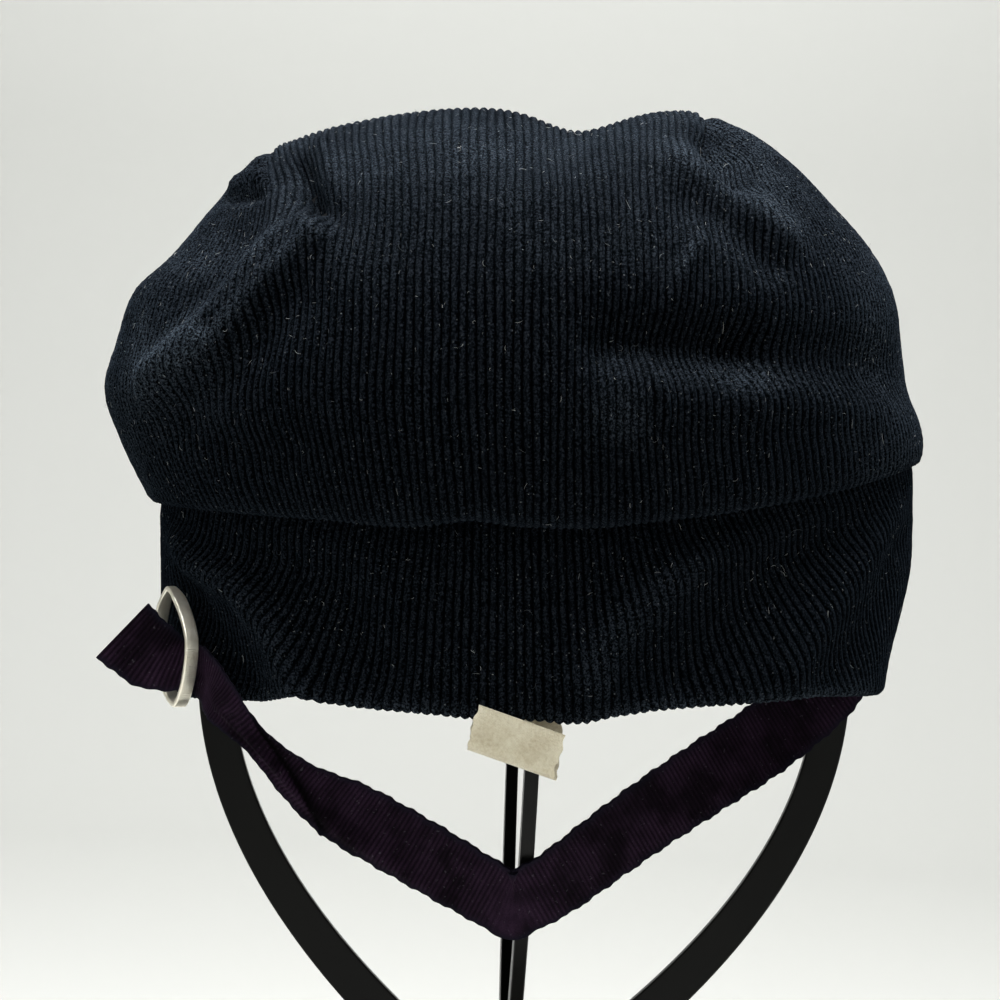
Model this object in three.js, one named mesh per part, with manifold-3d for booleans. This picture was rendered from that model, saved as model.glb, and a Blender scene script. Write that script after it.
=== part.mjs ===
// A soft corduroy cap with a ribbon chin strap, on a flat-sheet hat stand.
// Millimetres, +Z up, origin on the floor under the middle of the stand's base.
// The cap is worked out in its own frame (z = 0 at the hem) and then tipped a little on the stand.
import * as THREE from 'three';
import { mergeVertices } from 'three/addons/utils/BufferGeometryUtils.js';
import Module from 'manifold-3d';

const wasm = await Module();
wasm.setup();

// ---- driving sizes ----
const CLOTH = 1.8; // corduroy with its turned edges
const GAP = 0.3; // between pieces that touch
const SEAM_GAP = 0.4; // between the band and the crown's opening
const HEM_UP = 175; // hem above the floor
const CAP_TIP = THREE.MathUtils.degToRad(2.7); // the cap leans to -X on the stand
const CAP_SHIFT = 2.8; // cap's middle from the stand's axis
const STAND_TURN = THREE.MathUtils.degToRad(1.2); // the stand isn't quite square to the cap
const AROUND = 72; // facets round the cap
const RINGS = 22; // facets up the crown
const BAND_RINGS = 6;
const TOP_SHARE = 0.03; // the crown's top fan reaches this far down its meridians

const BAND = { halfWide: 86, halfDeep: 94.6, tuck: 1.5, turnedIn: 0.35, drawn: 7, drawnUp: 36 };
const HEM = { mean: 3, lift: 1.8 };
const RIBBON = { thick: 1 };
const RING = { long: 26.4, wide: 20.5, band: 3, wire: 1.1, point: 1.35 };
const RING_PLACE = { x: -78.7, y: -47.8, z: 14.9, lean: -11.4, turn: -62 };
const LABEL = { thick: 1 };
const SHEET = 3; // the stand is cut from it
const HOOP = { half: 75.7, widestUp: 5, top: 121.85, pinch: 0.00624, stemHalf: 12, windowTip: 0.5 };
const WINDOW = { half: 67.7, top: 113.9, pinch: 0.0071 };
const BASE = { radius: 80, thick: 6, pocket: 4, bevel: 1 };

// ---- small helpers ----
const mix = (a, b, t) => a + (b - a) * t;
const bell = (distance, width) => Math.exp(-((distance / width) ** 2));

// Eases from 0 at from to 1 at to, whichever of the two is the larger.
function ease(from, to, value) {
  const share = THREE.MathUtils.clamp((value - from) / (to - from), 0, 1);
  return share * share * (3 - 2 * share);
}

// Distance from a point to a fold's line, both flat: the front view or the plan.
function distanceToFold(x, y, line) {
  let nearest = Infinity;
  for (let at = 0; at + 1 < line.length; at++) {
    const [x1, y1] = line[at];
    const dx = line[at + 1][0] - x1;
    const dy = line[at + 1][1] - y1;
    const along = ((x - x1) * dx + (y - y1) * dy) / (dx * dx + dy * dy);
    const share = THREE.MathUtils.clamp(along, 0, 1);
    nearest = Math.min(nearest, Math.hypot(x - x1 - dx * share, y - y1 - dy * share));
  }
  return nearest;
}

// Ridges stand high over the cloth and dents lie below it, fading over their width.
function foldLift(x, y, folds) {
  return folds.reduce((sum, fold) =>
    sum + fold.high * bell(distanceToFold(x, y, fold.line), fold.wide), 0);
}

// Faces between the rows of a grid. Each row runs round the piece, the last row joins the
// first, and the row called open isn't joined to the one after it.
function rowFaces(rows, open) {
  const across = rows[0].length;
  const faces = [];
  for (let row = 0; row < rows.length; row++) {
    for (let step = 0; row !== open && step < across; step++) {
      const here = row * across + step;
      const next = row * across + ((step + 1) % across);
      const up = ((row + 1) % rows.length) * across + step;
      const upNext = ((row + 1) % rows.length) * across + ((step + 1) % across);
      faces.push(here, next, upNext, here, upNext, up);
    }
  }
  return faces;
}

function geometryOf(points, faces) {
  const geometry = new THREE.BufferGeometry();
  const corners = points.flatMap((point) => point.toArray());
  geometry.setAttribute('position', new THREE.Float32BufferAttribute(corners, 3));
  geometry.setIndex(faces);
  return geometry;
}

function named(name, geometry, material) {
  const mesh = new THREE.Mesh(geometry, material);
  mesh.name = name;
  return mesh;
}

function finish(color, roughness, metalness) {
  return new THREE.MeshStandardMaterial({ color, roughness, metalness });
}

const CORDUROY = finish(0x141a26, 0.95, 0);
const GROSGRAIN = finish(0x2a1a2c, 0.8, 0);
const COTTON = finish(0xd8cfb2, 0.9, 0);
const NICKEL = finish(0xd9d2bf, 0.3, 1);
const BLACK_SHEET = finish(0x161615, 0.35, 0);

// ---- crown ----
// Each meridian runs from the top of the crown to the seam with the band.
const SIDE_LEFT = [
  { out: 0, up: 131 },
  { out: 25, up: 133 },
  { out: 48, up: 130 },
  { out: 64, up: 123.5 },
  { out: 73.5, up: 113 },
  { out: 83.5, up: 101 },
  { out: 92, up: 93 },
  { out: 95.8, up: 82 },
  { out: 98.6, up: 71 },
  { out: 94.6, up: 59 },
  { out: 90, up: 49.6 },
  { out: 88.4, up: 46.4 },
  { out: BAND.halfWide + SEAM_GAP, up: 46.2 },
];
const SIDE_RIGHT = [
  { out: 0, up: 131 },
  { out: 28, up: 132 },
  { out: 47, up: 129.5 },
  { out: 58, up: 122.5 },
  { out: 68, up: 112 },
  { out: 76.5, up: 102 },
  { out: 81.5, up: 92 },
  { out: 83, up: 82 },
  { out: 84.5, up: 70.5 },
  { out: 87.5, up: 62 },
  { out: 88.1, up: 57 },
  { out: 87.4, up: 54.9 },
  { out: BAND.halfWide + SEAM_GAP, up: 54.9 },
];
const FRONT = [
  { out: 0, up: 131 },
  { out: 30, up: 131 },
  { out: 55, up: 128 },
  { out: 75, up: 120.5 },
  { out: 90, up: 109 },
  { out: 100, up: 94 },
  { out: 105, up: 78 },
  { out: 105.5, up: 61 },
  { out: 102, up: 47 },
  { out: 98, up: 42.8 },
  { out: BAND.halfDeep + SEAM_GAP, up: 43 },
];
const BACK = [
  { out: 0, up: 131 },
  { out: 32, up: 130.5 },
  { out: 58, up: 126 },
  { out: 80, up: 117 },
  { out: 96, up: 104 },
  { out: 105, up: 89 },
  { out: 108, up: 73 },
  { out: 106, up: 58 },
  { out: 101.5, up: 49 },
  { out: 98, up: 46 },
  { out: BAND.halfDeep + SEAM_GAP, up: 46.2 },
];

// The top sags between the two places where the stand holds it up, as lines in plan.
const TOP_FOLDS = [
  { name: 'saddle', line: [[14, 45], [10, 0], [8, -50], [1, -80]], wide: 10, high: -4 },
  { name: 'left hump', line: [[-14, 25], [-14, -40]], wide: 20, high: 1.5 },
  { name: 'right hump', line: [[34, 25], [33, -50]], wide: 11, high: 1.8 },
];
// Folds of the front, as lines in the front view.
const FRONT_FOLDS = [
  { name: 'left pocket', line: [[-52, 117], [-47, 108]], wide: 5, high: -5 },
  { name: 'left upright ridge', line: [[-45, 122], [-43, 107]], wide: 3.5, high: 1.6 },
  { name: 'upper tension ridge', line: [[-47, 106], [-57, 98], [-65, 88]], wide: 3.5, high: 2 },
  { name: 'lower tension ridge', line: [[-46, 101], [-55, 91], [-82, 71]], wide: 4.5, high: 2.2 },
  { name: 'right pocket', line: [[38, 122], [41, 115]], wide: 5, high: -5 },
  { name: 'right pocket ridge', line: [[29, 117], [39, 110], [50, 102]], wide: 5, high: 2 },
  { name: 'right dent', line: [[12, 79], [26, 78], [44, 77], [73, 75]], wide: 7.5, high: -5.5 },
  { name: 'ridge under the dent', line: [[19, 70], [40, 67], [70, 66]], wide: 6, high: 1.8 },
];
// The back hangs in three broad soft folds.
const BACK_FOLDS = [
  { name: 'back left', line: [[-50, 100], [-20, 70]], wide: 14, high: -4 },
  { name: 'back right', line: [[45, 105], [25, 66]], wide: 13, high: -4 },
  { name: 'back middle', line: [[-5, 118], [5, 92]], wide: 12, high: -3 },
];

function turnsRound() {
  return Array.from({ length: AROUND }, (_, step) => (step / AROUND) * Math.PI * 2);
}

function meridian(rows) {
  return new THREE.SplineCurve(rows.map((row) => new THREE.Vector2(row.out, row.up)));
}

const sideLeft = meridian(SIDE_LEFT);
const sideRight = meridian(SIDE_RIGHT);
const front = meridian(FRONT);
const back = meridian(BACK);

// A point of the crown without its folds: turn 0 is +X, a quarter turn is the back.
function crownBase(turn, share) {
  const side = (Math.cos(turn) < 0 ? sideLeft : sideRight).getPointAt(share);
  const deep = (Math.sin(turn) < 0 ? front : back).getPointAt(share);
  const up = side.y * Math.cos(turn) ** 2 + deep.y * Math.sin(turn) ** 2;
  return new THREE.Vector3(side.x * Math.cos(turn), deep.x * Math.sin(turn), up);
}

function crownNormal(turn, share) {
  const step = 0.01;
  const round = crownBase(turn + step, share).sub(crownBase(turn - step, share));
  const low = Math.max(share - step, 0.002);
  const down = crownBase(turn, Math.min(share + step, 1)).sub(crownBase(turn, low));
  return down.cross(round).normalize();
}

// The folded outer face, pushed inwards by depth for the inner face.
function crownPoint(turn, share, depth) {
  const point = crownBase(turn, share);
  const facing = ease(4, 26, Math.abs(point.y));
  const folds = point.y < 0 ? FRONT_FOLDS : BACK_FOLDS;
  const onTop = ease(0.62, 0.42, share);
  let lift = foldLift(point.x, point.z, folds) * facing;
  lift += foldLift(point.x, point.y, TOP_FOLDS) * onTop;
  lift *= ease(1, 0.86, share);
  return point.addScaledVector(crownNormal(turn, share), lift - depth);
}

// The outer face from the rim to the top, then the inner face back down to the rim. Each of
// them closes with a fan of faces at the top of the crown.
function crownShell() {
  const shares = Array.from({ length: RINGS }, (_, ring) => mix(1, TOP_SHARE, ring / (RINGS - 1)));
  const turns = turnsRound();
  const rows = [
    ...shares.map((share) => turns.map((turn) => crownPoint(turn, share, 0))),
    ...shares.reverse().map((share) => turns.map((turn) => crownPoint(turn, share, CLOTH))),
  ];
  const faces = rowFaces(rows, RINGS - 1);
  const top = crownBase(0, 0);
  const points = [...rows.flat(), top, top.clone().setZ(top.z - CLOTH)];
  const outerTop = rows.length * AROUND;
  const innerTop = outerTop + 1;
  for (let step = 0; step < AROUND; step++) {
    const next = (step + 1) % AROUND;
    faces.push(outerTop, (RINGS - 1) * AROUND + step, (RINGS - 1) * AROUND + next);
    faces.push(innerTop, RINGS * AROUND + next, RINGS * AROUND + step);
  }
  return named('crown', geometryOf(points, faces), CORDUROY);
}

// ---- band ----
// The drape folds of the band's front, as lines in the front view.
const BAND_FOLDS = [
  { name: 'left ridge', line: [[-80, 42], [-73, 33], [-57, 24], [-49, 7]], wide: 3.5, high: 2.2 },
  { name: 'left recess', line: [[-76, 24], [-63, 8]], wide: 6, high: -2 },
  { name: 'right ridge', line: [[52, 46], [34, 39], [13, 19], [10, 9]], wide: 6, high: 2 },
  { name: 'right valley', line: [[62, 40], [46, 28], [28, 12]], wide: 7, high: -2 },
];

// The hem is highest in front, and the top is tucked just inside the crown's opening.
const hemUp = (turn) => HEM.mean - HEM.lift * Math.sin(turn);
const bandTop = (turn) => crownBase(turn, 1).z + BAND.tuck;

// The right side is drawn in towards the hem.
function drawnIn(turn, up) {
  return Math.cos(turn) > 0 ? BAND.drawn * Math.cos(turn) ** 4 * ease(BAND.drawnUp, 0, up) : 0;
}

// The top edge is turned in where the crown is sewn over it.
function bandPoint(turn, up, depth) {
  const turnedIn = BAND.turnedIn * ease(bandTop(turn) - 6, bandTop(turn), up);
  const wide = BAND.halfWide - drawnIn(turn, up) - turnedIn - depth;
  const deep = BAND.halfDeep - turnedIn - depth;
  const x = wide * Math.cos(turn);
  const nearTop = ease(bandTop(turn) * 0.92, bandTop(turn) * 0.7, up);
  const facing = ease(0, 0.4, -Math.sin(turn)) * nearTop;
  const lift = foldLift(x, up, BAND_FOLDS) * facing;
  return new THREE.Vector3(x + lift * Math.cos(turn), (deep + lift) * Math.sin(turn), up);
}

function bandShell() {
  const turns = turnsRound();
  const ring = (step, depth) => turns.map((turn) =>
    bandPoint(turn, mix(hemUp(turn), bandTop(turn), step / BAND_RINGS), depth));
  const steps = Array.from({ length: BAND_RINGS + 1 }, (_, step) => step);
  const rows = [
    ...steps.map((step) => ring(step, 0)),
    ...steps.reverse().map((step) => ring(step, CLOTH)),
  ];
  return named('band', geometryOf(rows.flat(), rowFaces(rows, -1)), CORDUROY);
}

// ---- ribbon pieces ----
// A ribbon is a strip through the rows of a table. level is the slope of the ribbon in the
// front view, and lean tips its lower edge to the back.
function acrossOf(row) {
  const level = THREE.MathUtils.degToRad(row.level);
  const lean = THREE.MathUtils.degToRad(row.lean);
  const upright = new THREE.Vector3(Math.sin(level), 0, Math.cos(level));
  return upright.multiplyScalar(Math.cos(lean)).add(new THREE.Vector3(0, -Math.sin(lean), 0));
}

function smoothRows(rows, perRow) {
  const smooth = [];
  for (let step = 0; step <= (rows.length - 1) * perRow; step++) {
    const at = Math.min(Math.floor(step / perRow), rows.length - 2);
    const share = step / perRow - at;
    const row = {};
    for (const key of Object.keys(rows[0])) {
      const before = rows[Math.max(at - 1, 0)][key];
      const after = rows[Math.min(at + 2, rows.length - 1)][key];
      const from = rows[at][key];
      const to = rows[at + 1][key];
      const cube = -before + 3 * from - 3 * to + after;
      const square = 2 * before - 5 * from + 4 * to - after;
      row[key] = (((cube * share + square) * share + to - before) * share) / 2 + from;
    }
    smooth.push(row);
  }
  return smooth;
}

// Four corners at each row, square to the strip's own run, closed by flat ends.
function strip(rows, thick, material, name) {
  const middles = rows.map((row) => new THREE.Vector3(row.x, row.y, row.z));
  const corners = [];
  rows.forEach((row, at) => {
    const across = acrossOf(row);
    const ahead = middles[Math.min(at + 1, rows.length - 1)];
    const run = ahead.clone().sub(middles[Math.max(at - 1, 0)]);
    const face = new THREE.Vector3().crossVectors(across, run).normalize();
    for (const [high, out] of [[-1, -1], [-1, 1], [1, 1], [1, -1]]) {
      const corner = middles[at].clone().addScaledVector(across, (high * row.wide) / 2);
      corners.push(corner.addScaledVector(face, (out * thick) / 2));
    }
  });
  const faces = [];
  for (let row = 0; row < rows.length - 1; row++) {
    for (let side = 0; side < 4; side++) {
      const here = row * 4 + side;
      const next = row * 4 + ((side + 1) % 4);
      faces.push(here, next, next + 4, here, next + 4, here + 4);
    }
  }
  const last = (rows.length - 1) * 4;
  faces.push(0, 2, 1, 0, 3, 2);
  faces.push(last, last + 1, last + 2, last, last + 2, last + 3);
  return named(name, geometryOf(corners, faces), material);
}

// ---- chin strap ----
// Middle line of the ribbon from its free tail, through the ring where it is gathered, down
// to the low point on the stand's front rail and up to the seam inside the band.
const STRAP = [
  { x: -90.0, y: -49, z: 18.5, lean: 0, wide: 16, level: 44 },
  { x: -84.0, y: -48.5, z: 13.8, lean: 0, wide: 14, level: 34 },
  { x: -78.8, y: -48.0, z: 11.4, lean: 0, wide: 9.5, level: 22 },
  { x: -75.2, y: -49.4, z: 10.8, lean: 0, wide: 9.2, level: 12 },
  { x: -71.6, y: -54.8, z: 9.0, lean: 0, wide: 9.8, level: 8 },
  { x: -66.6, y: -64.8, z: 3.4, lean: 0, wide: 9.5, level: 38 },
  { x: -59.4, y: -68.0, z: -3.7, lean: 0, wide: 7.5, level: 46 },
  { x: -51.0, y: -64.5, z: -12.3, lean: 5, wide: 10, level: 42 },
  { x: -41.0, y: -61, z: -19.3, lean: 10, wide: 14.5, level: 36 },
  { x: -32.0, y: -61.5, z: -24.3, lean: 15, wide: 15.5, level: 31 },
  { x: -23.0, y: -63, z: -29.2, lean: 20, wide: 16, level: 28 },
  { x: -14.0, y: -65, z: -34.2, lean: 25, wide: 16, level: 26 },
  { x: -5.5, y: -66.8, z: -38.8, lean: 29, wide: 16, level: 0 },
  { x: 4.0, y: -65.8, z: -33.5, lean: 25, wide: 16, level: -28 },
  { x: 14.5, y: -61, z: -26.5, lean: 20, wide: 16, level: -30 },
  { x: 24.0, y: -57, z: -20.3, lean: 15, wide: 16, level: -30 },
  { x: 36.0, y: -51, z: -13.2, lean: 8, wide: 16, level: -30 },
  { x: 50.5, y: -42, z: -5.0, lean: 0, wide: 16, level: -30 },
  { x: 64.0, y: -34, z: 5.0, lean: 8, wide: 16, level: -36 },
  { x: 71.0, y: -31, z: 13.0, lean: 40, wide: 16, level: -44 },
  { x: 77.3, y: -28, z: 25.0, lean: 76, wide: 16, level: -55 },
];

function chinStrap() {
  return strip(smoothRows(STRAP, 2), RIBBON.thick, GROSGRAIN, 'chin_strap');
}

// ---- ring ----
// A pointed oval of flat strip, longest up and down, seen nearly edge-on from the front.
function ringOutline(inset) {
  const pointed = (value) => Math.sign(value) * Math.abs(value) ** RING.point;
  const steps = 36;
  return Array.from({ length: steps }, (_, step) => {
    const turn = (step / steps) * Math.PI * 2;
    const wide = pointed(Math.cos(turn)) * (RING.wide / 2 - inset);
    return new THREE.Vector2(wide, pointed(Math.sin(turn)) * (RING.long / 2 - inset));
  });
}

// A flat piece cut from sheet: an outline with a window, standing in the XZ plane.
function cutSheet(outlinePoints, windowPoints, thick) {
  const outline = new THREE.Shape(outlinePoints);
  outline.holes.push(new THREE.Path(windowPoints));
  const geometry = new THREE.ExtrudeGeometry(outline, { depth: thick, bevelEnabled: false });
  geometry.translate(0, 0, -thick / 2);
  geometry.rotateX(Math.PI / 2);
  return geometry;
}

function strapRing() {
  const flat = cutSheet(ringOutline(0), ringOutline(RING.wire), RING.band);
  const ring = named('strap_ring', flat, NICKEL);
  const lean = THREE.MathUtils.degToRad(RING_PLACE.lean);
  const turn = THREE.MathUtils.degToRad(RING_PLACE.turn);
  ring.position.set(RING_PLACE.x, RING_PLACE.y, RING_PLACE.z);
  ring.rotation.set(0, lean, turn, 'ZYX');
  return ring;
}

// ---- label ----
// A tape sewn inside the front of the band, folded up over the hem. Its width lies level
// behind the hem and turns a little clockwise in front of it.
const LABEL_ROWS = [
  { x: -4.4, y: -90.4, z: 16.0, lean: 0, wide: 18.4, level: 90 },
  { x: -4.4, y: -90.4, z: 3.0, lean: 0, wide: 18.4, level: 90 },
  { x: -4.6, y: -91.6, z: -2.6, lean: 0, wide: 18.4, level: 102 },
  { x: -5.2, y: -94.4, z: -5.2, lean: 0, wide: 18.4, level: 109 },
  { x: -5.4, y: -96.8, z: -2.8, lean: 0, wide: 18.4, level: 110 },
  { x: -5.0, y: -97.4, z: 0.8, lean: 0, wide: 18.4, level: 110 },
  { x: -4.6, y: -97.6, z: 4.4, lean: 0, wide: 18.4, level: 110 },
];

function label() {
  return strip(LABEL_ROWS, LABEL.thick, COTTON, 'label');
}

// ---- stand ----
// Half width of a hoop's outline at a height above the hem: round above its widest place,
// drawn in below it towards the stem. The window is drawn in faster, so the rail widens.
function hoopHalf(up, outline) {
  const rise = up - HOOP.widestUp;
  if (rise >= 0) {
    return outline.half * Math.sqrt(Math.max(1 - (rise / outline.top) ** 2, 0));
  }
  return outline.half - outline.pinch * rise * rise;
}

// Points from the foot up the right side, over the crest and down the left side.
function hoopPoints(outline, narrowest) {
  const steps = 18;
  const right = [];
  const lowUp = HOOP.widestUp - Math.sqrt((outline.half - narrowest) / outline.pinch);
  for (let step = 0; step <= steps; step++) {
    const up = mix(lowUp, HOOP.widestUp, step / steps);
    right.push(new THREE.Vector2(hoopHalf(up, outline), up));
  }
  for (let step = 1; step < steps; step++) {
    const turn = (step / steps) * (Math.PI / 2);
    const high = HOOP.widestUp + outline.top * Math.sin(turn);
    right.push(new THREE.Vector2(outline.half * Math.cos(turn), high));
  }
  const left = [...right].reverse().map((point) => new THREE.Vector2(-point.x, point.y));
  return [...right, new THREE.Vector2(0, HOOP.widestUp + outline.top), ...left];
}

function solid(geometry) {
  const plain = geometry.clone();
  plain.deleteAttribute('normal');
  plain.deleteAttribute('uv');
  const merged = mergeVertices(plain, 1e-3);
  return new wasm.Manifold(new wasm.Mesh({
    numProp: 3,
    vertProperties: merged.attributes.position.array,
    triVerts: new Uint32Array(merged.index.array),
  }));
}

function fromSolid(body) {
  const mesh = body.getMesh();
  const geometry = new THREE.BufferGeometry();
  geometry.setAttribute('position', new THREE.Float32BufferAttribute(mesh.vertProperties, 3));
  geometry.setIndex(Array.from(mesh.triVerts));
  return geometry;
}

// A box between two heights, for a slot or pocket on the stand's axis.
function block(wide, deep, low, high) {
  const geometry = new THREE.BoxGeometry(wide, deep, high - low);
  geometry.translate(0, 0, (low + high) / 2);
  return solid(geometry);
}

// One hoop with its stem, and a half slot at the crest and at the stem where its twin crosses.
function hoop(name, slots) {
  const foot = BASE.thick - BASE.pocket + GAP - HEM_UP;
  const outer = hoopPoints(HOOP, HOOP.stemHalf);
  const footLeft = new THREE.Vector2(-HOOP.stemHalf, foot);
  const footRight = new THREE.Vector2(HOOP.stemHalf, foot);
  const outline = [...outer, footLeft, footRight];
  let body = solid(cutSheet(outline, hoopPoints(WINDOW, HOOP.windowTip), SHEET));
  for (const slot of slots) {
    body = body.subtract(block(SHEET + 2 * GAP, SHEET * 2, slot.low, slot.high));
  }
  return named(name, fromSolid(body), BLACK_SHEET);
}

function stand() {
  const crest = HOOP.widestUp + HOOP.top;
  const crestMiddle = (crest + HOOP.widestUp + WINDOW.top) / 2;
  const foot = BASE.thick - BASE.pocket + GAP - HEM_UP;
  const tip = HOOP.widestUp - Math.sqrt(WINDOW.half / WINDOW.pinch);
  const stemMiddle = (tip + foot) / 2;
  const past = 2; // the cutting block runs this far past the edge it opens
  const side = hoop('side_hoop', [
    { low: crestMiddle - GAP / 2, high: crest + past },
    { low: foot - past, high: stemMiddle + GAP / 2 },
  ]);
  const cross = hoop('cross_hoop', [
    { low: HOOP.widestUp + WINDOW.top - past, high: crestMiddle + GAP / 2 },
    { low: stemMiddle - GAP / 2, high: tip + past },
  ]);
  cross.rotation.z = Math.PI / 2;
  const hoops = new THREE.Group();
  hoops.position.z = HEM_UP;
  hoops.add(side, cross);
  const group = new THREE.Group();
  group.rotation.z = STAND_TURN;
  group.add(hoops, standBase());
  return group;
}

// A flat disc with a softened upper edge and a blind cross-shaped pocket for the two stems.
function standBase() {
  const { radius, thick, pocket, bevel } = BASE;
  const profile = [
    new THREE.Vector2(0, 0),
    new THREE.Vector2(radius, 0),
    new THREE.Vector2(radius, thick - bevel),
    new THREE.Vector2(radius - bevel, thick),
    new THREE.Vector2(0, thick),
  ];
  const stem = 2 * HOOP.stemHalf + 2 * GAP;
  const slot = SHEET + 2 * GAP;
  const disc = new THREE.LatheGeometry(profile, 96);
  disc.rotateX(Math.PI / 2);
  const body = solid(disc)
    .subtract(block(stem, slot, thick - pocket, thick + 1))
    .subtract(block(slot, stem, thick - pocket, thick + 1));
  return named('stand_base', fromSolid(body), BLACK_SHEET);
}

const cap = new THREE.Group();
cap.position.set(CAP_SHIFT, 0, HEM_UP);
cap.rotation.y = -CAP_TIP;
cap.add(crownShell(), bandShell(), chinStrap(), strapRing(), label());

const part = new THREE.Group();
part.add(cap, stand());

export default part;
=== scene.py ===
# %% [markdown]
# # A soft corduroy cap on a crossed-hoop stand
# The frame brings in a rigid model of the cap, its ribbon strap and its stand. Every soft piece
# is rebuilt here with its real surface: corduroy ribs, ribbed ribbon, woven tape. Metal and the
# stand get rounded edges. Sizes are in millimetres in the cap's own frame, where z is 0 at the
# hem, and are turned into metres in the world by one function.

# %% Start from the frame
import math

import bpy
import numpy as np
from mathutils import Matrix, Vector


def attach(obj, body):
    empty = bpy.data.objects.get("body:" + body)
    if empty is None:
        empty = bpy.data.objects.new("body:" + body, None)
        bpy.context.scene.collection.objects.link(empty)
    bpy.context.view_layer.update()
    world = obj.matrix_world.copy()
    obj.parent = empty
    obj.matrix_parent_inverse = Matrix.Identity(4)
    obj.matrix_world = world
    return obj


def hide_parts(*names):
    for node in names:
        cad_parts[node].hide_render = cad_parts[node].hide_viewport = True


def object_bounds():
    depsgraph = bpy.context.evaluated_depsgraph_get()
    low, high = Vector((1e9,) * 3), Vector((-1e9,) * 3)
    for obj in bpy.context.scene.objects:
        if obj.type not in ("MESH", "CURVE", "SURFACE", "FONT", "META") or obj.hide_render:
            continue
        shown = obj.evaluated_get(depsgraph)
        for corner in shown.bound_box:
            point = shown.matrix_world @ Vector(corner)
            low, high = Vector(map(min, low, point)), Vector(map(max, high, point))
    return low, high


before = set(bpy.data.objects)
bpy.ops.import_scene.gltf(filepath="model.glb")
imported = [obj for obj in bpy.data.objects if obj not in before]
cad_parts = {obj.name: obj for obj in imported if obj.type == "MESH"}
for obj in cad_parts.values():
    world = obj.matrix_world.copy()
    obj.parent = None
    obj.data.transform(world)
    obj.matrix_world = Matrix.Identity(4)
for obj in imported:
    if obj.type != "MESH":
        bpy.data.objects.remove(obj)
cad_low, cad_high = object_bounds()
print("frame", [round(side, 4) for side in cad_high - cad_low])

# %% [markdown]
# ## The cap's own frame
# The cap leans a little on its stand. Working in a frame that leans with it keeps every table
# below upright. The stand's floor is at the frame's lowest corner.

# %% Placing the cap
HEM_UP = 175
CAP_TIP = math.radians(2.7)
CAP_SHIFT = 2.8
FLOOR = cad_low.z
print("hem", HEM_UP, "mm up, tipped", round(math.degrees(CAP_TIP), 1), "degrees")


def tip(points):
    """Turns directions or points from the cap's frame to the world's."""
    points = np.asarray(points, float)
    x, y, z = points[..., 0], points[..., 1], points[..., 2]
    cos, sin = math.cos(CAP_TIP), math.sin(CAP_TIP)
    return np.stack([x * cos - z * sin, y, x * sin + z * cos], axis=-1)


def to_world(points):
    return (tip(points) + (CAP_SHIFT, 0, HEM_UP)) / 1000


# %% Small helpers
def mix(a, b, share):
    return a + (b - a) * share


def ease(low, high, value):
    """Goes smoothly from 0 at low to 1 at high, whichever of the two is larger."""
    share = np.clip((value - low) / (high - low), 0, 1)
    return share * share * (3 - 2 * share)


def bell(distance, width):
    return np.exp(-((distance / width) ** 2))


def unit(vectors):
    return vectors / np.maximum(np.linalg.norm(vectors, axis=-1, keepdims=True), 1e-9)


def grid_normals(points):
    """A grid's own normals, facing away from the middle of the cap."""
    across = np.gradient(points, axis=0)
    along = np.gradient(points, axis=1)
    normals = unit(np.cross(across, along))
    middle = points.reshape(-1, 3).mean(axis=0) * (1, 1, 0) + (0, 0, 60)
    side = np.sum(normals * (points - middle), axis=-1).mean()
    return normals if side > 0 else -normals


def join_grid(rows, columns, wrap_rows=False, wrap_columns=False):
    """Quads between the points of a grid, by row and column."""
    a = np.arange(rows if wrap_rows else rows - 1)
    b = np.arange(columns if wrap_columns else columns - 1)
    a, b = np.meshgrid(a, b, indexing="ij")
    a2, b2 = (a + 1) % rows, (b + 1) % columns
    quads = [a * columns + b, a2 * columns + b, a2 * columns + b2, a * columns + b2]
    return np.stack(quads, axis=-1).reshape(-1, 4)


def add_mesh(name, corners, faces, material, smooth=True):
    """A mesh object in the scene, from corners in world metres."""
    mesh = bpy.data.meshes.new(name)
    mesh.from_pydata(corners, [], [list(map(int, face)) for face in faces])
    mesh.polygons.foreach_set("use_smooth", [smooth] * len(mesh.polygons))
    mesh.materials.append(material)
    piece = bpy.data.objects.new(name, mesh)
    bpy.context.scene.collection.objects.link(piece)
    print(name, len(mesh.polygons), "faces")
    return piece


def make_piece(name, points, faces, material, marks=None):
    """A piece of the cap from points in its own frame. marks are numbers at each point."""
    piece = add_mesh(name, to_world(points).reshape(-1, 3).tolist(), faces, material)
    for mark, values in (marks or {}).items():
        layer = piece.data.attributes.new(mark, "FLOAT", "POINT")
        layer.data.foreach_set("value", np.asarray(values, np.float32).ravel())
    piece.data.update()
    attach(piece, "root")
    return piece


# %% [markdown]
# ## Node materials
# A small helper adds nodes and joins their sockets, so each finish below reads as a recipe.
# Numbers that are even all over are set on the shader's own sockets.


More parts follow.
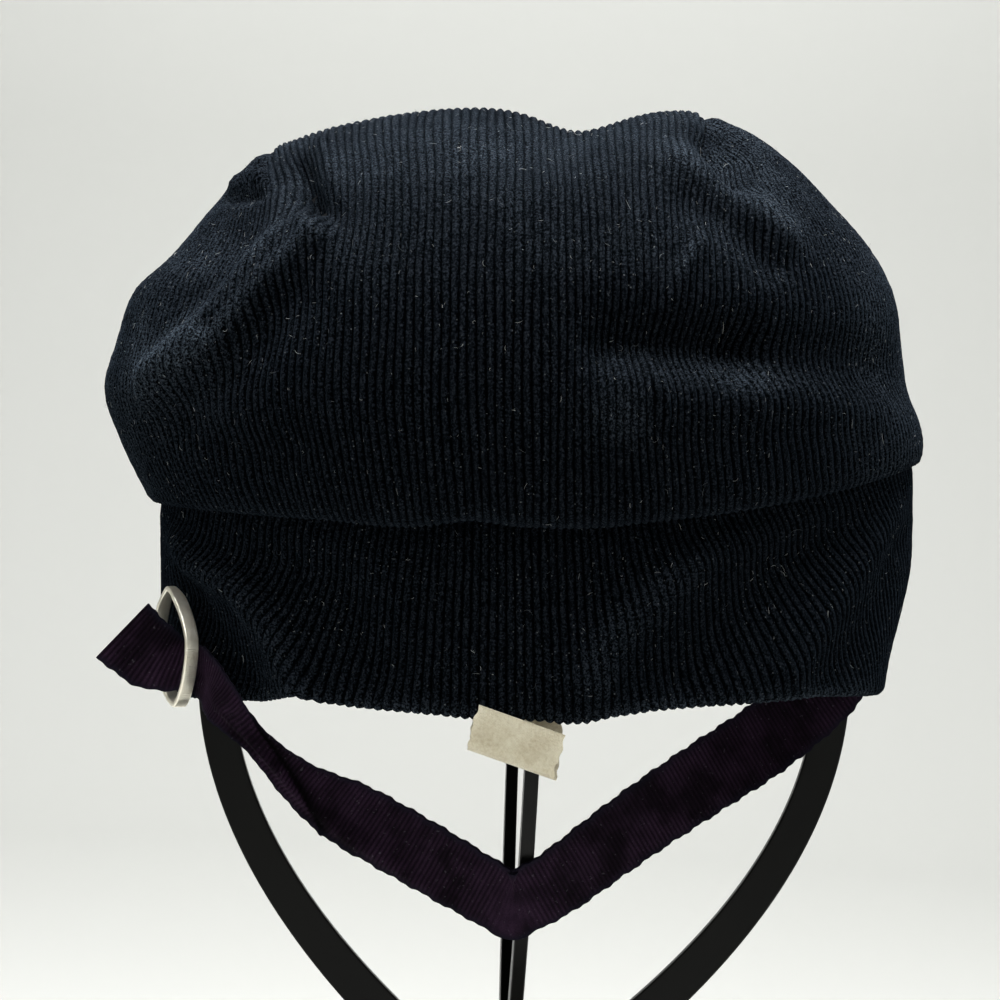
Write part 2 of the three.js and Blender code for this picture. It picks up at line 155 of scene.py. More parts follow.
# %% Recipe helper
class Recipe:
    """Builds one node material around a Principled shader."""

    def __init__(self, name, **even):
        self.material = bpy.data.materials.new(name)
        self.material.use_nodes = True
        self.tree = self.material.node_tree
        self.shader = self.tree.nodes["Principled BSDF"]
        for socket, value in even.items():
            self.shader.inputs[socket.replace("_", " ")].default_value = value
        self.place = self.add("ShaderNodeTexCoord").outputs["Object"]

    def add(self, kind, inputs=None, **settings):
        node = self.tree.nodes.new(kind)
        for setting, value in settings.items():
            setattr(node, setting, value)
        for socket, value in (inputs or {}).items():
            if isinstance(value, bpy.types.NodeSocket):
                self.tree.links.new(value, node.inputs[socket])
            else:
                node.inputs[socket].default_value = value
        return node

    def noise(self, scale, detail=2, rough=0.5, place=None):
        inputs = {"Vector": place or self.place, "Scale": scale, "Detail": detail, "Roughness": rough}
        return self.add("ShaderNodeTexNoise", inputs).outputs["Fac"]

    def math(self, operation, a, b=0.0, clamp=False):
        node = self.add("ShaderNodeMath", {0: a, 1: b}, operation=operation, use_clamp=clamp)
        return node.outputs[0]

    def ramp(self, value, low, high, to_low=0.0, to_high=1.0):
        inputs = {"Value": value, "From Min": low, "From Max": high, "To Min": to_low, "To Max": to_high}
        return self.add("ShaderNodeMapRange", inputs).outputs["Result"]

    def mark(self, name):
        return self.add("ShaderNodeAttribute", attribute_name=name).outputs["Fac"]

    def blend(self, share, a, b):
        """Mixes two colours. Its sockets are numbered, since their names repeat."""
        return self.add("ShaderNodeMix", {0: share, 6: a, 7: b}, data_type="RGBA").outputs[2]

    def bump(self, height, strength, distance, under=None):
        inputs = {"Height": height, "Strength": strength, "Distance": distance}
        if under:
            inputs["Normal"] = under
        return self.add("ShaderNodeBump", inputs).outputs["Normal"]

    def feed(self, **sockets):
        for socket, value in sockets.items():
            self.tree.links.new(value, self.shader.inputs[socket.replace("_", " ")])
        return self.material


# %% [markdown]
# ## Corduroy, the finish
# Corduroy is a plain ground with rounded ribs of short upright pile. The ribs are modelled, so
# the finish only adds what is smaller than a rib: the grooves are darker because little light
# reaches the ground cloth, the tips of the pile catch the light, and rubbed places are paler.
# Faces turned up or aside are paler too, a painted sheen mixed with rubbed and dusty pile. The
# pile scatters light every way, so the shader has no gloss and only a trace of sheen.

# %% Corduroy finish
NAVY_GROOVE = (0.0002, 0.0003, 0.0005, 1)
NAVY_PILE = (0.0020, 0.0027, 0.0038, 1)
NAVY_TIP = (0.0172, 0.0212, 0.0280, 1)
NAVY_RUBBED_AND_SHEEN = (0.053, 0.067, 0.085, 1)
LINT_GREY = (0.24, 0.26, 0.27, 1)
BACK_DARK = (0.0015, 0.0018, 0.0026, 1)
BACK_PALE = (0.0035, 0.0042, 0.006, 1)


def corduroy_finish():
    cloth = Recipe("corduroy_pile", Roughness=0.95, Sheen_Weight=0.03, Sheen_Roughness=0.30,
                   Sheen_Tint=(0.5, 0.72, 1.0, 1), Specular_IOR_Level=0.0)
    patches = cloth.noise(38, 4, 0.6)
    tuft = cloth.noise(2300, 2, 0.7)
    fibre = cloth.noise(4600, 2, 0.6)
    ragged = cloth.math("ADD", cloth.mark("rib"), cloth.ramp(tuft, 0.40, 0.60, -0.22, 0.22))
    crest = cloth.ramp(ragged, 0.30, 0.85)
    colour = cloth.blend(crest, NAVY_GROOVE, NAVY_PILE)
    lit_tips = cloth.math("MULTIPLY", crest, cloth.ramp(tuft, 0.47, 0.70))
    colour = cloth.blend(lit_tips, colour, NAVY_TIP)
    # Rubbed and dusty pile and painted sheen pale the ribs here: one mark carries all three.
    wear_and_sheen = cloth.math("MULTIPLY", cloth.ramp(patches, 0.38, 0.62, 0.35, 1.0), cloth.mark("wear_and_sheen"))
    dust_and_sheen = cloth.math("MULTIPLY", wear_and_sheen, cloth.ramp(tuft, 0.46, 0.62, 0.05, 1.0))
    settled_dust_and_sheen = cloth.math("MULTIPLY", dust_and_sheen, cloth.ramp(ragged, 0.1, 0.8, 0.3, 1.0), clamp=True)
    colour = cloth.blend(settled_dust_and_sheen, colour, NAVY_RUBBED_AND_SHEEN)
    cells = cloth.add("ShaderNodeTexVoronoi", {"Vector": cloth.place, "Scale": 620.0})
    speck = cloth.ramp(cells.outputs["Distance"], 0.11, 0.05)
    dust = cloth.math("MULTIPLY", speck, cloth.ramp(patches, 0.4, 0.6, 0.1, 0.45))
    colour = cloth.blend(dust, colour, LINT_GREY)
    pile = cloth.bump(fibre, 0.6, 0.0002, cloth.bump(tuft, 0.5, 0.0003))
    return cloth.feed(Base_Color=colour, Normal=pile)


def plain_back_finish():
    back = Recipe("corduroy_back", Roughness=0.9, Sheen_Weight=0.05, Specular_IOR_Level=0.1)
    threads = back.add("ShaderNodeTexChecker", {"Vector": back.place, "Scale": 2400.0}).outputs["Fac"]
    colour = back.blend(back.ramp(back.noise(60, 3), 0.35, 0.65), BACK_DARK, BACK_PALE)
    return back.feed(Base_Color=colour, Normal=back.bump(threads, 0.3, 0.0002))


CORDUROY = corduroy_finish()
CLOTH_BACK = plain_back_finish()
print("finishes", CORDUROY.name, "and", CLOTH_BACK.name)

# %% [markdown]
# ## The crown's surface
# The crown is a soft bag of cloth sewn to the band. Its shape is worked out as four upright
# sections, left, right, front and back, blended round the cap, with the sags and folds of the
# cloth added along the surface's own outward direction.

# %% Sections of the crown
SIDE_LEFT = [(0, 131), (25, 133), (48, 130), (64, 123.5), (73.5, 113), (83.5, 101), (92, 93),
             (95.8, 82), (98.6, 71), (94.6, 59), (90, 49.6), (88.4, 46.4), (86.4, 46.2)]
SIDE_RIGHT = [(0, 131), (28, 132), (47, 129.5), (58, 122.5), (68, 112), (76.5, 102), (81.5, 92),
              (83, 82), (84.5, 70.5), (87.5, 62), (88.1, 57), (87.4, 54.9), (86.4, 54.9)]
FRONT = [(0, 131), (30, 131), (55, 128), (75, 120.5), (90, 109), (100, 94), (105, 78),
         (105.5, 61), (102, 47), (98, 42.8), (95, 43)]
BACK = [(0, 131), (32, 130.5), (58, 126), (80, 117), (96, 104), (105, 89), (108, 73),
        (106, 58), (101.5, 49), (98, 46), (95, 46.2)]


def section(rows, steps=400):
    """A smooth curve through a section, as a function of the share of its length."""
    rows = np.array(rows, float)
    at = np.linspace(0, len(rows) - 1, steps)
    first = np.minimum(at.astype(int), len(rows) - 2)
    t = (at - first)[:, None]
    before, start = rows[np.maximum(first - 1, 0)], rows[first]
    end, after = rows[first + 1], rows[np.minimum(first + 2, len(rows) - 1)]
    leave, arrive = (end - before) / 2, (after - start) / 2
    curve = ((2 * start - 2 * end + leave + arrive) * t + 3 * end - 3 * start - 2 * leave
             - arrive) * t * t + leave * t + start
    length = np.concatenate([[0], np.cumsum(np.hypot(*np.diff(curve, axis=0).T))])
    shares = length / length[-1]
    return lambda share: (np.interp(share, shares, curve[:, 0]), np.interp(share, shares, curve[:, 1]))


side_left, side_right, front, back = map(section, (SIDE_LEFT, SIDE_RIGHT, FRONT, BACK))


def crown_base(turn, share):
    """The crown without folds. Turn 0 is to the right, a quarter turn is the back."""
    cos, sin = np.cos(turn), np.sin(turn)
    left_out, left_up = side_left(share)
    right_out, right_up = side_right(share)
    front_out, front_up = front(share)
    back_out, back_up = back(share)
    side_out, side_up = np.where(cos < 0, left_out, right_out), np.where(cos < 0, left_up, right_up)
    deep_out, deep_up = np.where(sin < 0, front_out, back_out), np.where(sin < 0, front_up, back_up)
    return np.stack([side_out * cos, deep_out * sin, side_up * cos**2 + deep_up * sin**2], axis=-1)


def crown_normal(turn, share, step=0.01):
    around = crown_base(turn + step, share) - crown_base(turn - step, share)
    low = np.maximum(share - step, 0.002)
    down = crown_base(turn, np.minimum(share + step, 1)) - crown_base(turn, low)
    return unit(np.cross(down, around))


# %% [markdown]
# ## Folds of the crown
# Each fold is a short line with a width and a height: ridges stand over the cloth, pockets and
# dents lie below it. Front and back folds are lines seen from the front, and the sag of the top
# between the two places where the stand holds it up is a line seen from above.

# %% Fold tables
TOP_FOLDS = [
    {"line": [(14, 45), (10, 0), (8, -50), (1, -80)], "wide": 10, "high": -4},
    {"line": [(-14, 25), (-14, -40)], "wide": 20, "high": 1.5},
    {"line": [(34, 25), (33, -50)], "wide": 11, "high": 1.8},
]
FRONT_FOLDS = [
    {"name": "left pocket", "line": [(-52, 117), (-47, 108)], "wide": 5, "high": -5},
    {"name": "pocket's bottom", "line": [(-50, 112), (-44, 106)], "wide": 3, "high": -2},
    {"name": "notch", "line": [(-69, 113), (-59, 112)], "wide": 1.7, "high": -1.8},
    {"name": "lip over the notch", "line": [(-67, 117), (-60, 116)], "wide": 2.2, "high": 1.4},
    {"name": "outer tuck", "line": [(-60, 121), (-58.5, 112)], "wide": 2, "high": 1.2},
    {"name": "inner tuck", "line": [(-56, 119), (-50, 106)], "wide": 2, "high": 1.2},
    {"name": "upright ridge", "line": [(-46, 122), (-44, 108), (-46, 103)], "wide": 3, "high": 2.2},
    {"name": "upper tension ridge", "line": [(-47, 106), (-56, 99), (-64, 89), (-72, 81.5), (-82, 74)],
     "wide": 2.8, "high": 3},
    {"name": "between the ridges", "line": [(-50, 102), (-60, 91), (-68, 83)], "wide": 2.6, "high": -1.2},
    {"name": "lower tension ridge", "line": [(-46, 101), (-55, 93), (-66, 80.5), (-82, 70)],
     "wide": 3.2, "high": 3},
    {"name": "under the ridges", "line": [(-50, 88), (-62, 74), (-74, 66)], "wide": 5, "high": -1.6},
    {"name": "flat beyond the ridges", "line": [(-65, 102), (-73, 90)], "wide": 6, "high": -1.6},
    {"name": "left side wrinkle", "line": [(-74, 62), (-60, 56), (-50, 58)], "wide": 4, "high": -1.2},
    {"name": "right pocket", "line": [(38, 122), (41, 115)], "wide": 5, "high": -5},
    {"name": "right pocket ridge", "line": [(29, 117), (39, 110), (50, 102)], "wide": 4.5, "high": 2.8},
    {"name": "under the pocket", "line": [(30, 108), (40, 103), (47, 96)], "wide": 4, "high": -1.5},
    {"name": "right dent", "line": [(14, 79), (26, 78.5), (40, 77.5)], "wide": 6.5, "high": -5.5},
    {"name": "the dent running out", "line": [(46, 77), (73, 75)], "wide": 6.5, "high": -2.4},
    {"name": "under the dent", "line": [(17, 70), (40, 67.5)], "wide": 6, "high": 1.3},
    {"name": "lower right roll", "line": [(44, 68), (70, 66)], "wide": 5, "high": 1.5},
    {"name": "crease over the dent", "line": [(32, 99), (24, 85)], "wide": 1.7, "high": 1.1},
    {"name": "crease under the dent", "line": [(22, 75), (24, 64)], "wide": 1.7, "high": 1.1},
    {"name": "right corner bulge", "line": [(80, 61), (83, 60)], "wide": 7, "high": 1.5},
    {"name": "right corner tuck", "line": [(70, 54), (53, 52)], "wide": 2.5, "high": -1.4},
]
BACK_FOLDS = [
    {"line": [(-50, 100), (-20, 70)], "wide": 14, "high": -4},
    {"line": [(45, 105), (25, 66)], "wide": 13, "high": -4},
    {"line": [(-5, 118), (5, 92)], "wide": 12, "high": -3},
]
print("folds", len(TOP_FOLDS), "above,", len(FRONT_FOLDS), "in front,", len(BACK_FOLDS), "behind")


def distance_to_fold(x, y, line):
    nearest = np.full(np.shape(x), np.inf)
    for (x1, y1), (x2, y2) in zip(line, line[1:]):
        dx, dy = x2 - x1, y2 - y1
        along = np.clip(((x - x1) * dx + (y - y1) * dy) / (dx * dx + dy * dy), 0, 1)
        nearest = np.minimum(nearest, np.hypot(x - x1 - dx * along, y - y1 - dy * along))
    return nearest


def fold_lift(x, y, folds):
    return sum(f["high"] * bell(distance_to_fold(x, y, f["line"]), f["wide"]) for f in folds)


def edge_wave(x):
    """The overhanging edge isn't level: it hangs a little lower where the cloth is fuller."""
    return 1.0 * bell(x + 14, 6) - 0.8 * bell(x + 30, 9) - 0.6 * bell(x - 8, 12)


def crown_point(turn, share, depth=0.0):
    """The folded crown and how far its folds lift it there."""
    points = crown_base(turn, share)
    x, y, z = points[..., 0], points[..., 1], points[..., 2]
    sides = np.where(y < 0, fold_lift(x, z, FRONT_FOLDS), fold_lift(x, z, BACK_FOLDS))
    lift = sides * ease(4, 26, np.abs(y)) + fold_lift(x, y, TOP_FOLDS) * ease(0.62, 0.42, share)
    lift = lift * ease(1, 0.86, share)
    points = points + crown_normal(turn, share) * (lift - depth)[..., None]
    points[..., 2] += edge_wave(x) * ease(0.8, 1, share) * (y < 0)
    return points, lift


# %% [markdown]
# ## Ribs
# Corduroy's ribs run straight in the flat cloth, so on the cap they show how it was cut. Over the
# middle they run from the front seam over the top to the back seam. Beyond the two shoulder seams
# they stand upright and end at the seam. The grids below follow the ribs, a few points across
# each one, so the ribs are real rounded ridges and turn with every fold.

# %% Rib profile
RIB_PITCH = 1.88
RIB_HIGH = 0.5
ACROSS_RIB = 6


def rib_profile(ribs, roundness=2.1):
    """Height from 0 in a groove to 1 on a rib's crest."""
    off_crest = np.abs(2 * (ribs - np.floor(ribs)) - 1)
    return 1 - off_crest**roundness


def rib_wander(ribs, run):
    """Ribs aren't ruled lines: each wanders by a part of its pitch."""
    return 0.10 * np.sin(0.31 * ribs + 9.1 * run) + 0.07 * np.sin(0.83 * ribs - 21.7 * run + 1.3)


CHANCE = np.random.default_rng(7)
UNEVEN = 0.13


def uneven(shape):
    """Pile doesn't stand equally high: a factor round 1 for every point of a ribbed grid."""
    return 1 + UNEVEN * CHANCE.standard_normal(shape).clip(-2, 2)


# %% Where a rib runs on the crown
TOP_BLEND = (0.30, 0.62)
SHARES = np.linspace(0, 1, 401)
GIRTH = np.maximum.accumulate(sum(side(SHARES)[0] for side in (side_left, side_right, front, back)) / 4)
QUARTER_RIBS = round(GIRTH[-1] * math.pi / 2 / RIB_PITCH)
RIB_STEP = GIRTH[-1] * math.pi / 2 / QUARTER_RIBS


def ribs_from_front(angle, share):
    """Ribs counted from the front to an angle round the cap, at a share of the way down."""
    round_side = ease(*TOP_BLEND, share)
    girth = np.interp(share, SHARES, GIRTH)
    return girth * ((1 - round_side) * np.sin(angle) + round_side * angle) / RIB_STEP


def angle_of_rib(ribs, share):
    """The same, turned round: the angle from the front at which a rib is met."""
    shape = np.broadcast(ribs, share).shape
    low, high = np.zeros(shape), np.full(shape, math.pi / 2)
    for _ in range(26):
        middle = (low + high) / 2
        short = ribs_from_front(middle, share) < ribs
        low, high = np.where(short, middle, low), np.where(short, high, middle)
    return (low + high) / 2


CROSSINGS = ribs_from_front(np.full_like(SHARES, math.pi / 2), SHARES)
print("ribs in a quarter of the crown", QUARTER_RIBS, "pitch", round(RIB_STEP, 3))

# %% Shoulder seams
SEAMS = {"left": {"ribs": 35, "from_share": 0.50}, "right": {"ribs": 23, "from_share": 0.46}}
SEAM_GROOVE = {"deep": 1.1, "wide": 1.7}
PUCKERS = {"high": 0.45, "waves": 58, "beside": 3, "wide": 4}
CROWN_LONG = 165


def sewn(away, run, share, seam):
    """A sewn seam pulls the cloth in and puckers it alongside. It starts at the dart's tip."""
    started = ease(seam["from_share"] + 0.03, seam["from_share"] - 0.05, share)
    groove = -SEAM_GROOVE["deep"] * bell(away, SEAM_GROOVE["wide"])
    beside = bell(away - PUCKERS["beside"], PUCKERS["wide"])
    return (groove + PUCKERS["high"] * np.sin(run * PUCKERS["waves"]) * beside) * started


# %% Worn, dusty and painted-sheen places of the crown
CREST_SHARP = 1.3
MOST_WORN = 1.5
WORN_PLACES = [
    {"name": "left flank", "x": -80, "z": 77, "wide": 13, "strength": 0.55},
    {"name": "spot under the dent", "x": 15.4, "z": 64.4, "wide": 4.5, "strength": 1.3},
]


def crown_wear_and_sheen(points, normals, lift, share):
    """Paler pile: rubbed at the edge, rubbed and with a painted highlight on ridges, dusty and with painted
    sheen where it faces up or aside.
    """
    # Painted sheen, with some dust: faces turned up or aside are paler.
    dust_and_sheen = 0.65 * ease(0.25, 0.9, normals[..., 2]) + 0.5 * ease(0.7, 0.95, np.abs(normals[..., 0]))
    # Fold ridges are paler, partly rubbed pile and partly a painted highlight.
    wear_and_sheen = ease(1.6, 3.0, lift) * 0.5 + ease(0.94, 1.0, share) * 0.2 + dust_and_sheen
    for spot in WORN_PLACES:
        away = np.hypot(points[..., 0] - spot["x"], points[..., 2] - spot["z"])
        wear_and_sheen = wear_and_sheen + spot["strength"] * bell(away, spot["wide"]) * (points[..., 1] < 0)
    return np.clip(wear_and_sheen, 0, MOST_WORN)


# %% One panel of the crown
def turn_of(side, angle, back_half):
    """Turns an angle from the front, or from the back, into the crown's turn."""
    return np.where(back_half, math.pi / 2 - side * angle, -math.pi / 2 + side * angle)


def crown_cloth(name, turn, share, ribs, seams):
    """One panel of the crown: folds, then ribs along the folded surface's own normals."""
    smooth, lift = crown_point(turn, share)
    normals = grid_normals(smooth)
    height = RIB_HIGH * rib_profile(ribs) * ease(1.03, 0.97, share) * uneven(turn.shape) + seams
    points = smooth + normals * height[..., None]
    marks = {"rib": rib_profile(ribs, CREST_SHARP), "wear_and_sheen": crown_wear_and_sheen(smooth, normals, lift, share)}
    return make_piece(name, points, join_grid(*turn.shape), CORDUROY, marks), points


# %% Middle panel, over the top
MIDDLE_ROWS = 152


def middle_panel():
    left_edge, right_edge = SEAMS["left"]["ribs"], SEAMS["right"]["ribs"]
    ribs = np.arange(-left_edge * ACROSS_RIB, right_edge * ACROSS_RIB + 1) / ACROSS_RIB
    run = np.linspace(-1, 1, MIDDLE_ROWS)
    ribs, run = np.meshgrid(ribs, run, indexing="ij")
    edge = np.minimum(ribs + left_edge, right_edge - ribs)
    where = ribs + rib_wander(ribs, run) * np.clip(edge / 2, 0, 1)
    side = np.where(where < 0, -1.0, 1.0)
    crossing = np.interp(np.abs(where), CROSSINGS, SHARES)
    share = np.sqrt(crossing**2 + (1 - crossing**2) * run**2)
    angle = angle_of_rib(np.abs(where), share)
    turn = turn_of(side, angle, run > 0)
    left_seam = sewn((ribs + left_edge) * RIB_STEP, run, share, SEAMS["left"])
    right_seam = sewn((right_edge - ribs) * RIB_STEP, run, share, SEAMS["right"])
    return crown_cloth("crown_middle", turn, share, ribs, left_seam + right_seam)


crown_middle, middle_points = middle_panel()

# %% Side panels, up to the shoulder seams
SIDE_ROWS = 60
SIDE_SHARE = 0.78


def side_panel(seam_name, side):
    seam = SEAMS[seam_name]
    spread = round((QUARTER_RIBS - seam["ribs"]) * SIDE_SHARE)
    ribs = np.arange(0, 2 * spread * ACROSS_RIB + 1) / ACROSS_RIB
    run = np.linspace(0, 1, SIDE_ROWS)
    ribs, run = np.meshgrid(ribs, run, indexing="ij")
    wander = rib_wander(ribs + seam["ribs"], run) * np.clip(np.minimum(ribs, 2 * spread - ribs) / 2, 0, 1)
    where = ribs + wander
    back_half = where > spread
    portion = np.where(back_half, 2 * spread - where, where) / spread
    at_tip = angle_of_rib(seam["ribs"], np.array(seam["from_share"]))
    seam_shares = np.linspace(seam["from_share"], 0.2, 200)
    seam_angles = angle_of_rib(seam["ribs"], seam_shares)
    top = np.interp(mix(at_tip, math.pi / 2, portion), seam_angles, seam_shares)
    share = mix(top, 1, run)
    start = angle_of_rib(seam["ribs"], np.maximum(share, seam["from_share"]))
    turn = turn_of(side, mix(start, math.pi / 2, portion), back_half)
    own_seam = sewn((share - top) * CROWN_LONG, ribs / spread, top, seam)
    return crown_cloth(f"crown_{seam_name}", turn, share, ribs, own_seam)


crown_left, left_points = side_panel("left", -1.0)
crown_right, right_points = side_panel("right", 1.0)

# %% [markdown]
# ## The crown's inside
# From below, the cloth's plain back shows. It is a coarser shell a cloth's thickness inside the
# first, joined to the outer face at the rim, so the cloth reads as one turned edge.

# %% Inside of the crown
CLOTH = 1.7


def crown_inside():
    turn = np.linspace(0, 2 * math.pi, 120, endpoint=False)
    share = np.concatenate([[1.0, 1.0], np.linspace(0.985, 0.012, 40)])
    depth = np.concatenate([[-0.2, CLOTH], np.full(40, CLOTH)])
    grid_turn, grid_share = np.meshgrid(turn, share, indexing="ij")
    points, _ = crown_point(grid_turn, grid_share, np.broadcast_to(depth, grid_share.shape))
    faces = join_grid(*grid_turn.shape, wrap_rows=True).tolist()
    count = grid_share.shape[1]
    faces.append([step * count + count - 1 for step in range(len(turn))])
    return make_piece("crown_inside", points, faces, CLOTH_BACK)


inside = crown_inside()
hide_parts("crown")

# %% [markdown]
# ## The band
# The band is a deep strip cut a little on the slant, so its ribs lean where the cloth is dragged
# round. Its own hem is turned up: the ribs run down the outside, round the edge and a little way
# up the inside, which gives the hem its fine bumps.

# %% Band sizes and folds
BAND = {"half_wide": 86, "half_deep": 94.6, "tuck": 1.5, "turned_in": 0.35, "drawn": 7, "drawn_up": 36}
HEM = {"mean": 3, "lift": 1.8}
BAND_FOLDS = [
    {"name": "left ridge", "line": [(-80, 42), (-73, 33), (-62, 28), (-55, 21), (-49, 8)],
     "wide": 3.4, "high": 4.8},
    {"name": "left recess", "line": [(-76, 24), (-63, 8)], "wide": 6, "high": -3.6},
    {"name": "left second ridge", "line": [(-60, 20), (-54, 9)], "wide": 2.5, "high": 1},
    {"name": "left hollow", "line": [(-55, 38), (-42, 28), (-34, 14)], "wide": 7, "high": -2.6},
    {"name": "right ridge", "line": [(52, 48), (34, 39), (22, 27), (13, 19), (10, 11)],
     "wide": 5.5, "high": 4.2},
    {"name": "right valley", "line": [(62, 42), (46, 28), (30, 12)], "wide": 7, "high": -3.4},
    {"name": "right side ridge", "line": [(76, 44), (64, 28), (52, 12)], "wide": 4.5, "high": 2},
    {"name": "right side valley", "line": [(80, 36), (73, 22), (62, 10)], "wide": 5, "high": -1.8},
]
# How far a rib leans over the band's height, in degrees round the cap, by its place from the front.
BAND_LEAN = [(-180, 0), (-100, 3), (-60, 7), (-35, 8), (-12, 1), (8, -2), (28, -9), (48, -17), (70, -19),
             (100, -10), (140, -2), (180, 0)]


def hem_up(turn):
    return HEM["mean"] - HEM["lift"] * np.sin(turn)


HEM_WAVE = [(-80, 0), (-61, 0.5), (-54, 1.7), (-49, 2.6), (-45, 1.2), (-37, 0.4), (-22, -0.5), (-15, -1.2),
            (0, -1.6), (5, -2.2), (9, -2), (14, -0.9), (23, 0.2), (40, 1), (60, 1.7), (72, 0.9), (80, 0)]


def hem_wave(turn):
    """The seen side's hem isn't level: it rises in a cusp at the ridge and dips by the label."""
    return np.interp(BAND["half_wide"] * np.cos(turn), *np.array(HEM_WAVE).T) * ease(0, 0.3, -np.sin(turn))


def band_top(turn):
    return crown_base(turn, np.ones_like(turn))[..., 2] + BAND["tuck"]


def band_point(turn, up, depth=0.0):
    cos, sin, top = np.cos(turn), np.sin(turn), band_top(turn)
    drawn = np.where(cos > 0, BAND["drawn"] * cos**4 * ease(BAND["drawn_up"], 0, up), 0)
    inward = drawn + BAND["turned_in"] * ease(top - 6, top, up) + depth
    x = (BAND["half_wide"] - inward) * cos
    facing = ease(0, 0.4, -sin) * ease(top * 0.92, top * 0.7, up)
    lift = fold_lift(x, up, BAND_FOLDS) * facing
    deep = BAND["half_deep"] - inward + drawn
    return np.stack([x + lift * cos, (deep + lift) * sin, up], axis=-1), lift


# %% Band
BAND_RIBS = 256
SIDE_STRETCH = 9.2
BAND_ROWS = 26
HEM_ROWS = 5
TURNED_UP = 8
EDGE = 0.85


def band():
    ribs = np.arange(BAND_RIBS * ACROSS_RIB) / ACROSS_RIB
    outer = np.linspace(1, 0, BAND_ROWS)
    row = np.concatenate([outer, np.linspace(0, 1, HEM_ROWS + 1)[1:] + 1, np.linspace(0.25, 1, 4) + 2])
    ribs, row = np.meshgrid(ribs, row, indexing="ij")
    even = (ribs / BAND_RIBS * 360 + 180) % 360 - 180
    from_front = even - SIDE_STRETCH * np.sin(np.radians(2 * even)) * 0.5
    lean = np.interp(from_front, *np.array(BAND_LEAN).T)
    up_share = np.clip(row, 0, 1) * (row <= 1)
    degrees = from_front + lean * (up_share - 0.5) + 0.35 * rib_wander(ribs, row)
    turn = np.radians(degrees - 90)
    low, top = hem_up(turn) + hem_wave(turn) + EDGE, band_top(turn)
    bend = np.clip(row - 1, 0, 1) * math.pi
    inside_up = np.clip(row - 2, 0, 1) * TURNED_UP
    up = np.where(row <= 1, mix(low, top, up_share), low - EDGE * np.sin(bend) + inside_up)
    depth = np.where(row <= 1, 0, EDGE * (1 - np.cos(bend)))
    points, lift = band_point(turn, up, depth)
    outward = np.stack([np.cos(turn), np.sin(turn), np.zeros_like(turn)], axis=-1) * np.cos(bend)[..., None]
    outward[..., 2] -= np.sin(bend)
    smooth_normals = np.where((row <= 1)[..., None], grid_normals(points), outward)
    high = RIB_HIGH * rib_profile(ribs) * np.where(row > 2, 0.4, 1) * uneven(ribs.shape)
    points = points + smooth_normals * high[..., None]
    # The turned hem is rubbed paler; fold ridges are a little paler, partly rubbed and partly a painted
    # highlight.
    wear_and_sheen = np.where(row > 1, 0.7, 0.2 * ease(1.5, 4, lift) + ease(0.06, 0, up_share) * 0.4)
    faces = join_grid(*ribs.shape, wrap_rows=True)
    marks = {"rib": rib_profile(ribs, CREST_SHARP), "wear_and_sheen": np.clip(wear_and_sheen, 0, MOST_WORN)}
    return make_piece("band_cloth", points, faces, CORDUROY, marks), points[:, :BAND_ROWS]


def band_inside():
    turn = np.linspace(0, 2 * math.pi, 144, endpoint=False)
    rise = np.linspace(0, 1, 14)
    turn, rise = np.meshgrid(turn, rise, indexing="ij")
    up = mix(hem_up(turn) + hem_wave(turn) + TURNED_UP - 1, band_top(turn), rise)
    points, _ = band_point(turn, up, np.full_like(up, 2 * EDGE + 0.1))
    return make_piece("band_inside", points, join_grid(*turn.shape, wrap_rows=True), CLOTH_BACK)


band_cloth, band_points = band()
band_back = band_inside()
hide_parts("band")

# %% [markdown]
# ## Ribbon
# The chin strap is grosgrain: a firm ribbon with fine ribs straight across it and a smooth
# selvage along each edge. It is worked out as rows along its route, each with its place, slope,
# lean and width. Where it is gathered to less than its real width, a lengthwise roll takes up
# the rest, and where one edge folds over the other the fold's line crosses it. The ribs are
# real, four rows of points to each.

# %% Ribbon finish
AUBERGINE = (0.0300, 0.0150, 0.0320, 1)
AUBERGINE_DARK = (0.0008, 0.0004, 0.0009, 1)
SELVAGE = (0.0060, 0.0065, 0.0120, 1)
RIBBON_DUST = (0.12, 0.11, 0.13, 1)


def ribbon_finish():
    ribbon = Recipe("grosgrain", Roughness=0.7, Sheen_Weight=0.02, Sheen_Roughness=0.35,
                    Sheen_Tint=(0.85, 0.65, 0.95, 1), Specular_IOR_Level=0.03)
    fibre = ribbon.noise(5200, 2, 0.6)
    patch = ribbon.ramp(ribbon.noise(110, 3, 0.6), 0.38, 0.62, 0.25, 1.0)
    # The ribs' grooves are darker, which is painted shade; the patches are tone that differs at random.
    tone_and_shade = ribbon.math("MULTIPLY", ribbon.ramp(ribbon.mark("rib"), 0.1, 0.9, 0.3, 1.0), patch)
    tone_and_shade = ribbon.math("MULTIPLY", tone_and_shade, ribbon.ramp(fibre, 0.35, 0.6, 0.45, 1.0))
    # Beside the fold's crease the ribbon is darkened: painted shade.
    tone_and_shade = ribbon.math("MULTIPLY", tone_and_shade, ribbon.ramp(ribbon.mark("crease"), 0, 1, 1, 0))
    colour = ribbon.blend(tone_and_shade, AUBERGINE_DARK, AUBERGINE)
    colour = ribbon.blend(ribbon.math("MULTIPLY", ribbon.mark("edge"), 0.8), colour, SELVAGE)
    dust = ribbon.ramp(ribbon.noise(1400, 1, 0.4), 0.70, 0.78)
    colour = ribbon.blend(ribbon.math("MULTIPLY", dust, 0.3), colour, RIBBON_DUST)
    return ribbon.feed(Base_Color=colour, Normal=ribbon.bump(fibre, 0.5, 0.00015))


GROSGRAIN = ribbon_finish()


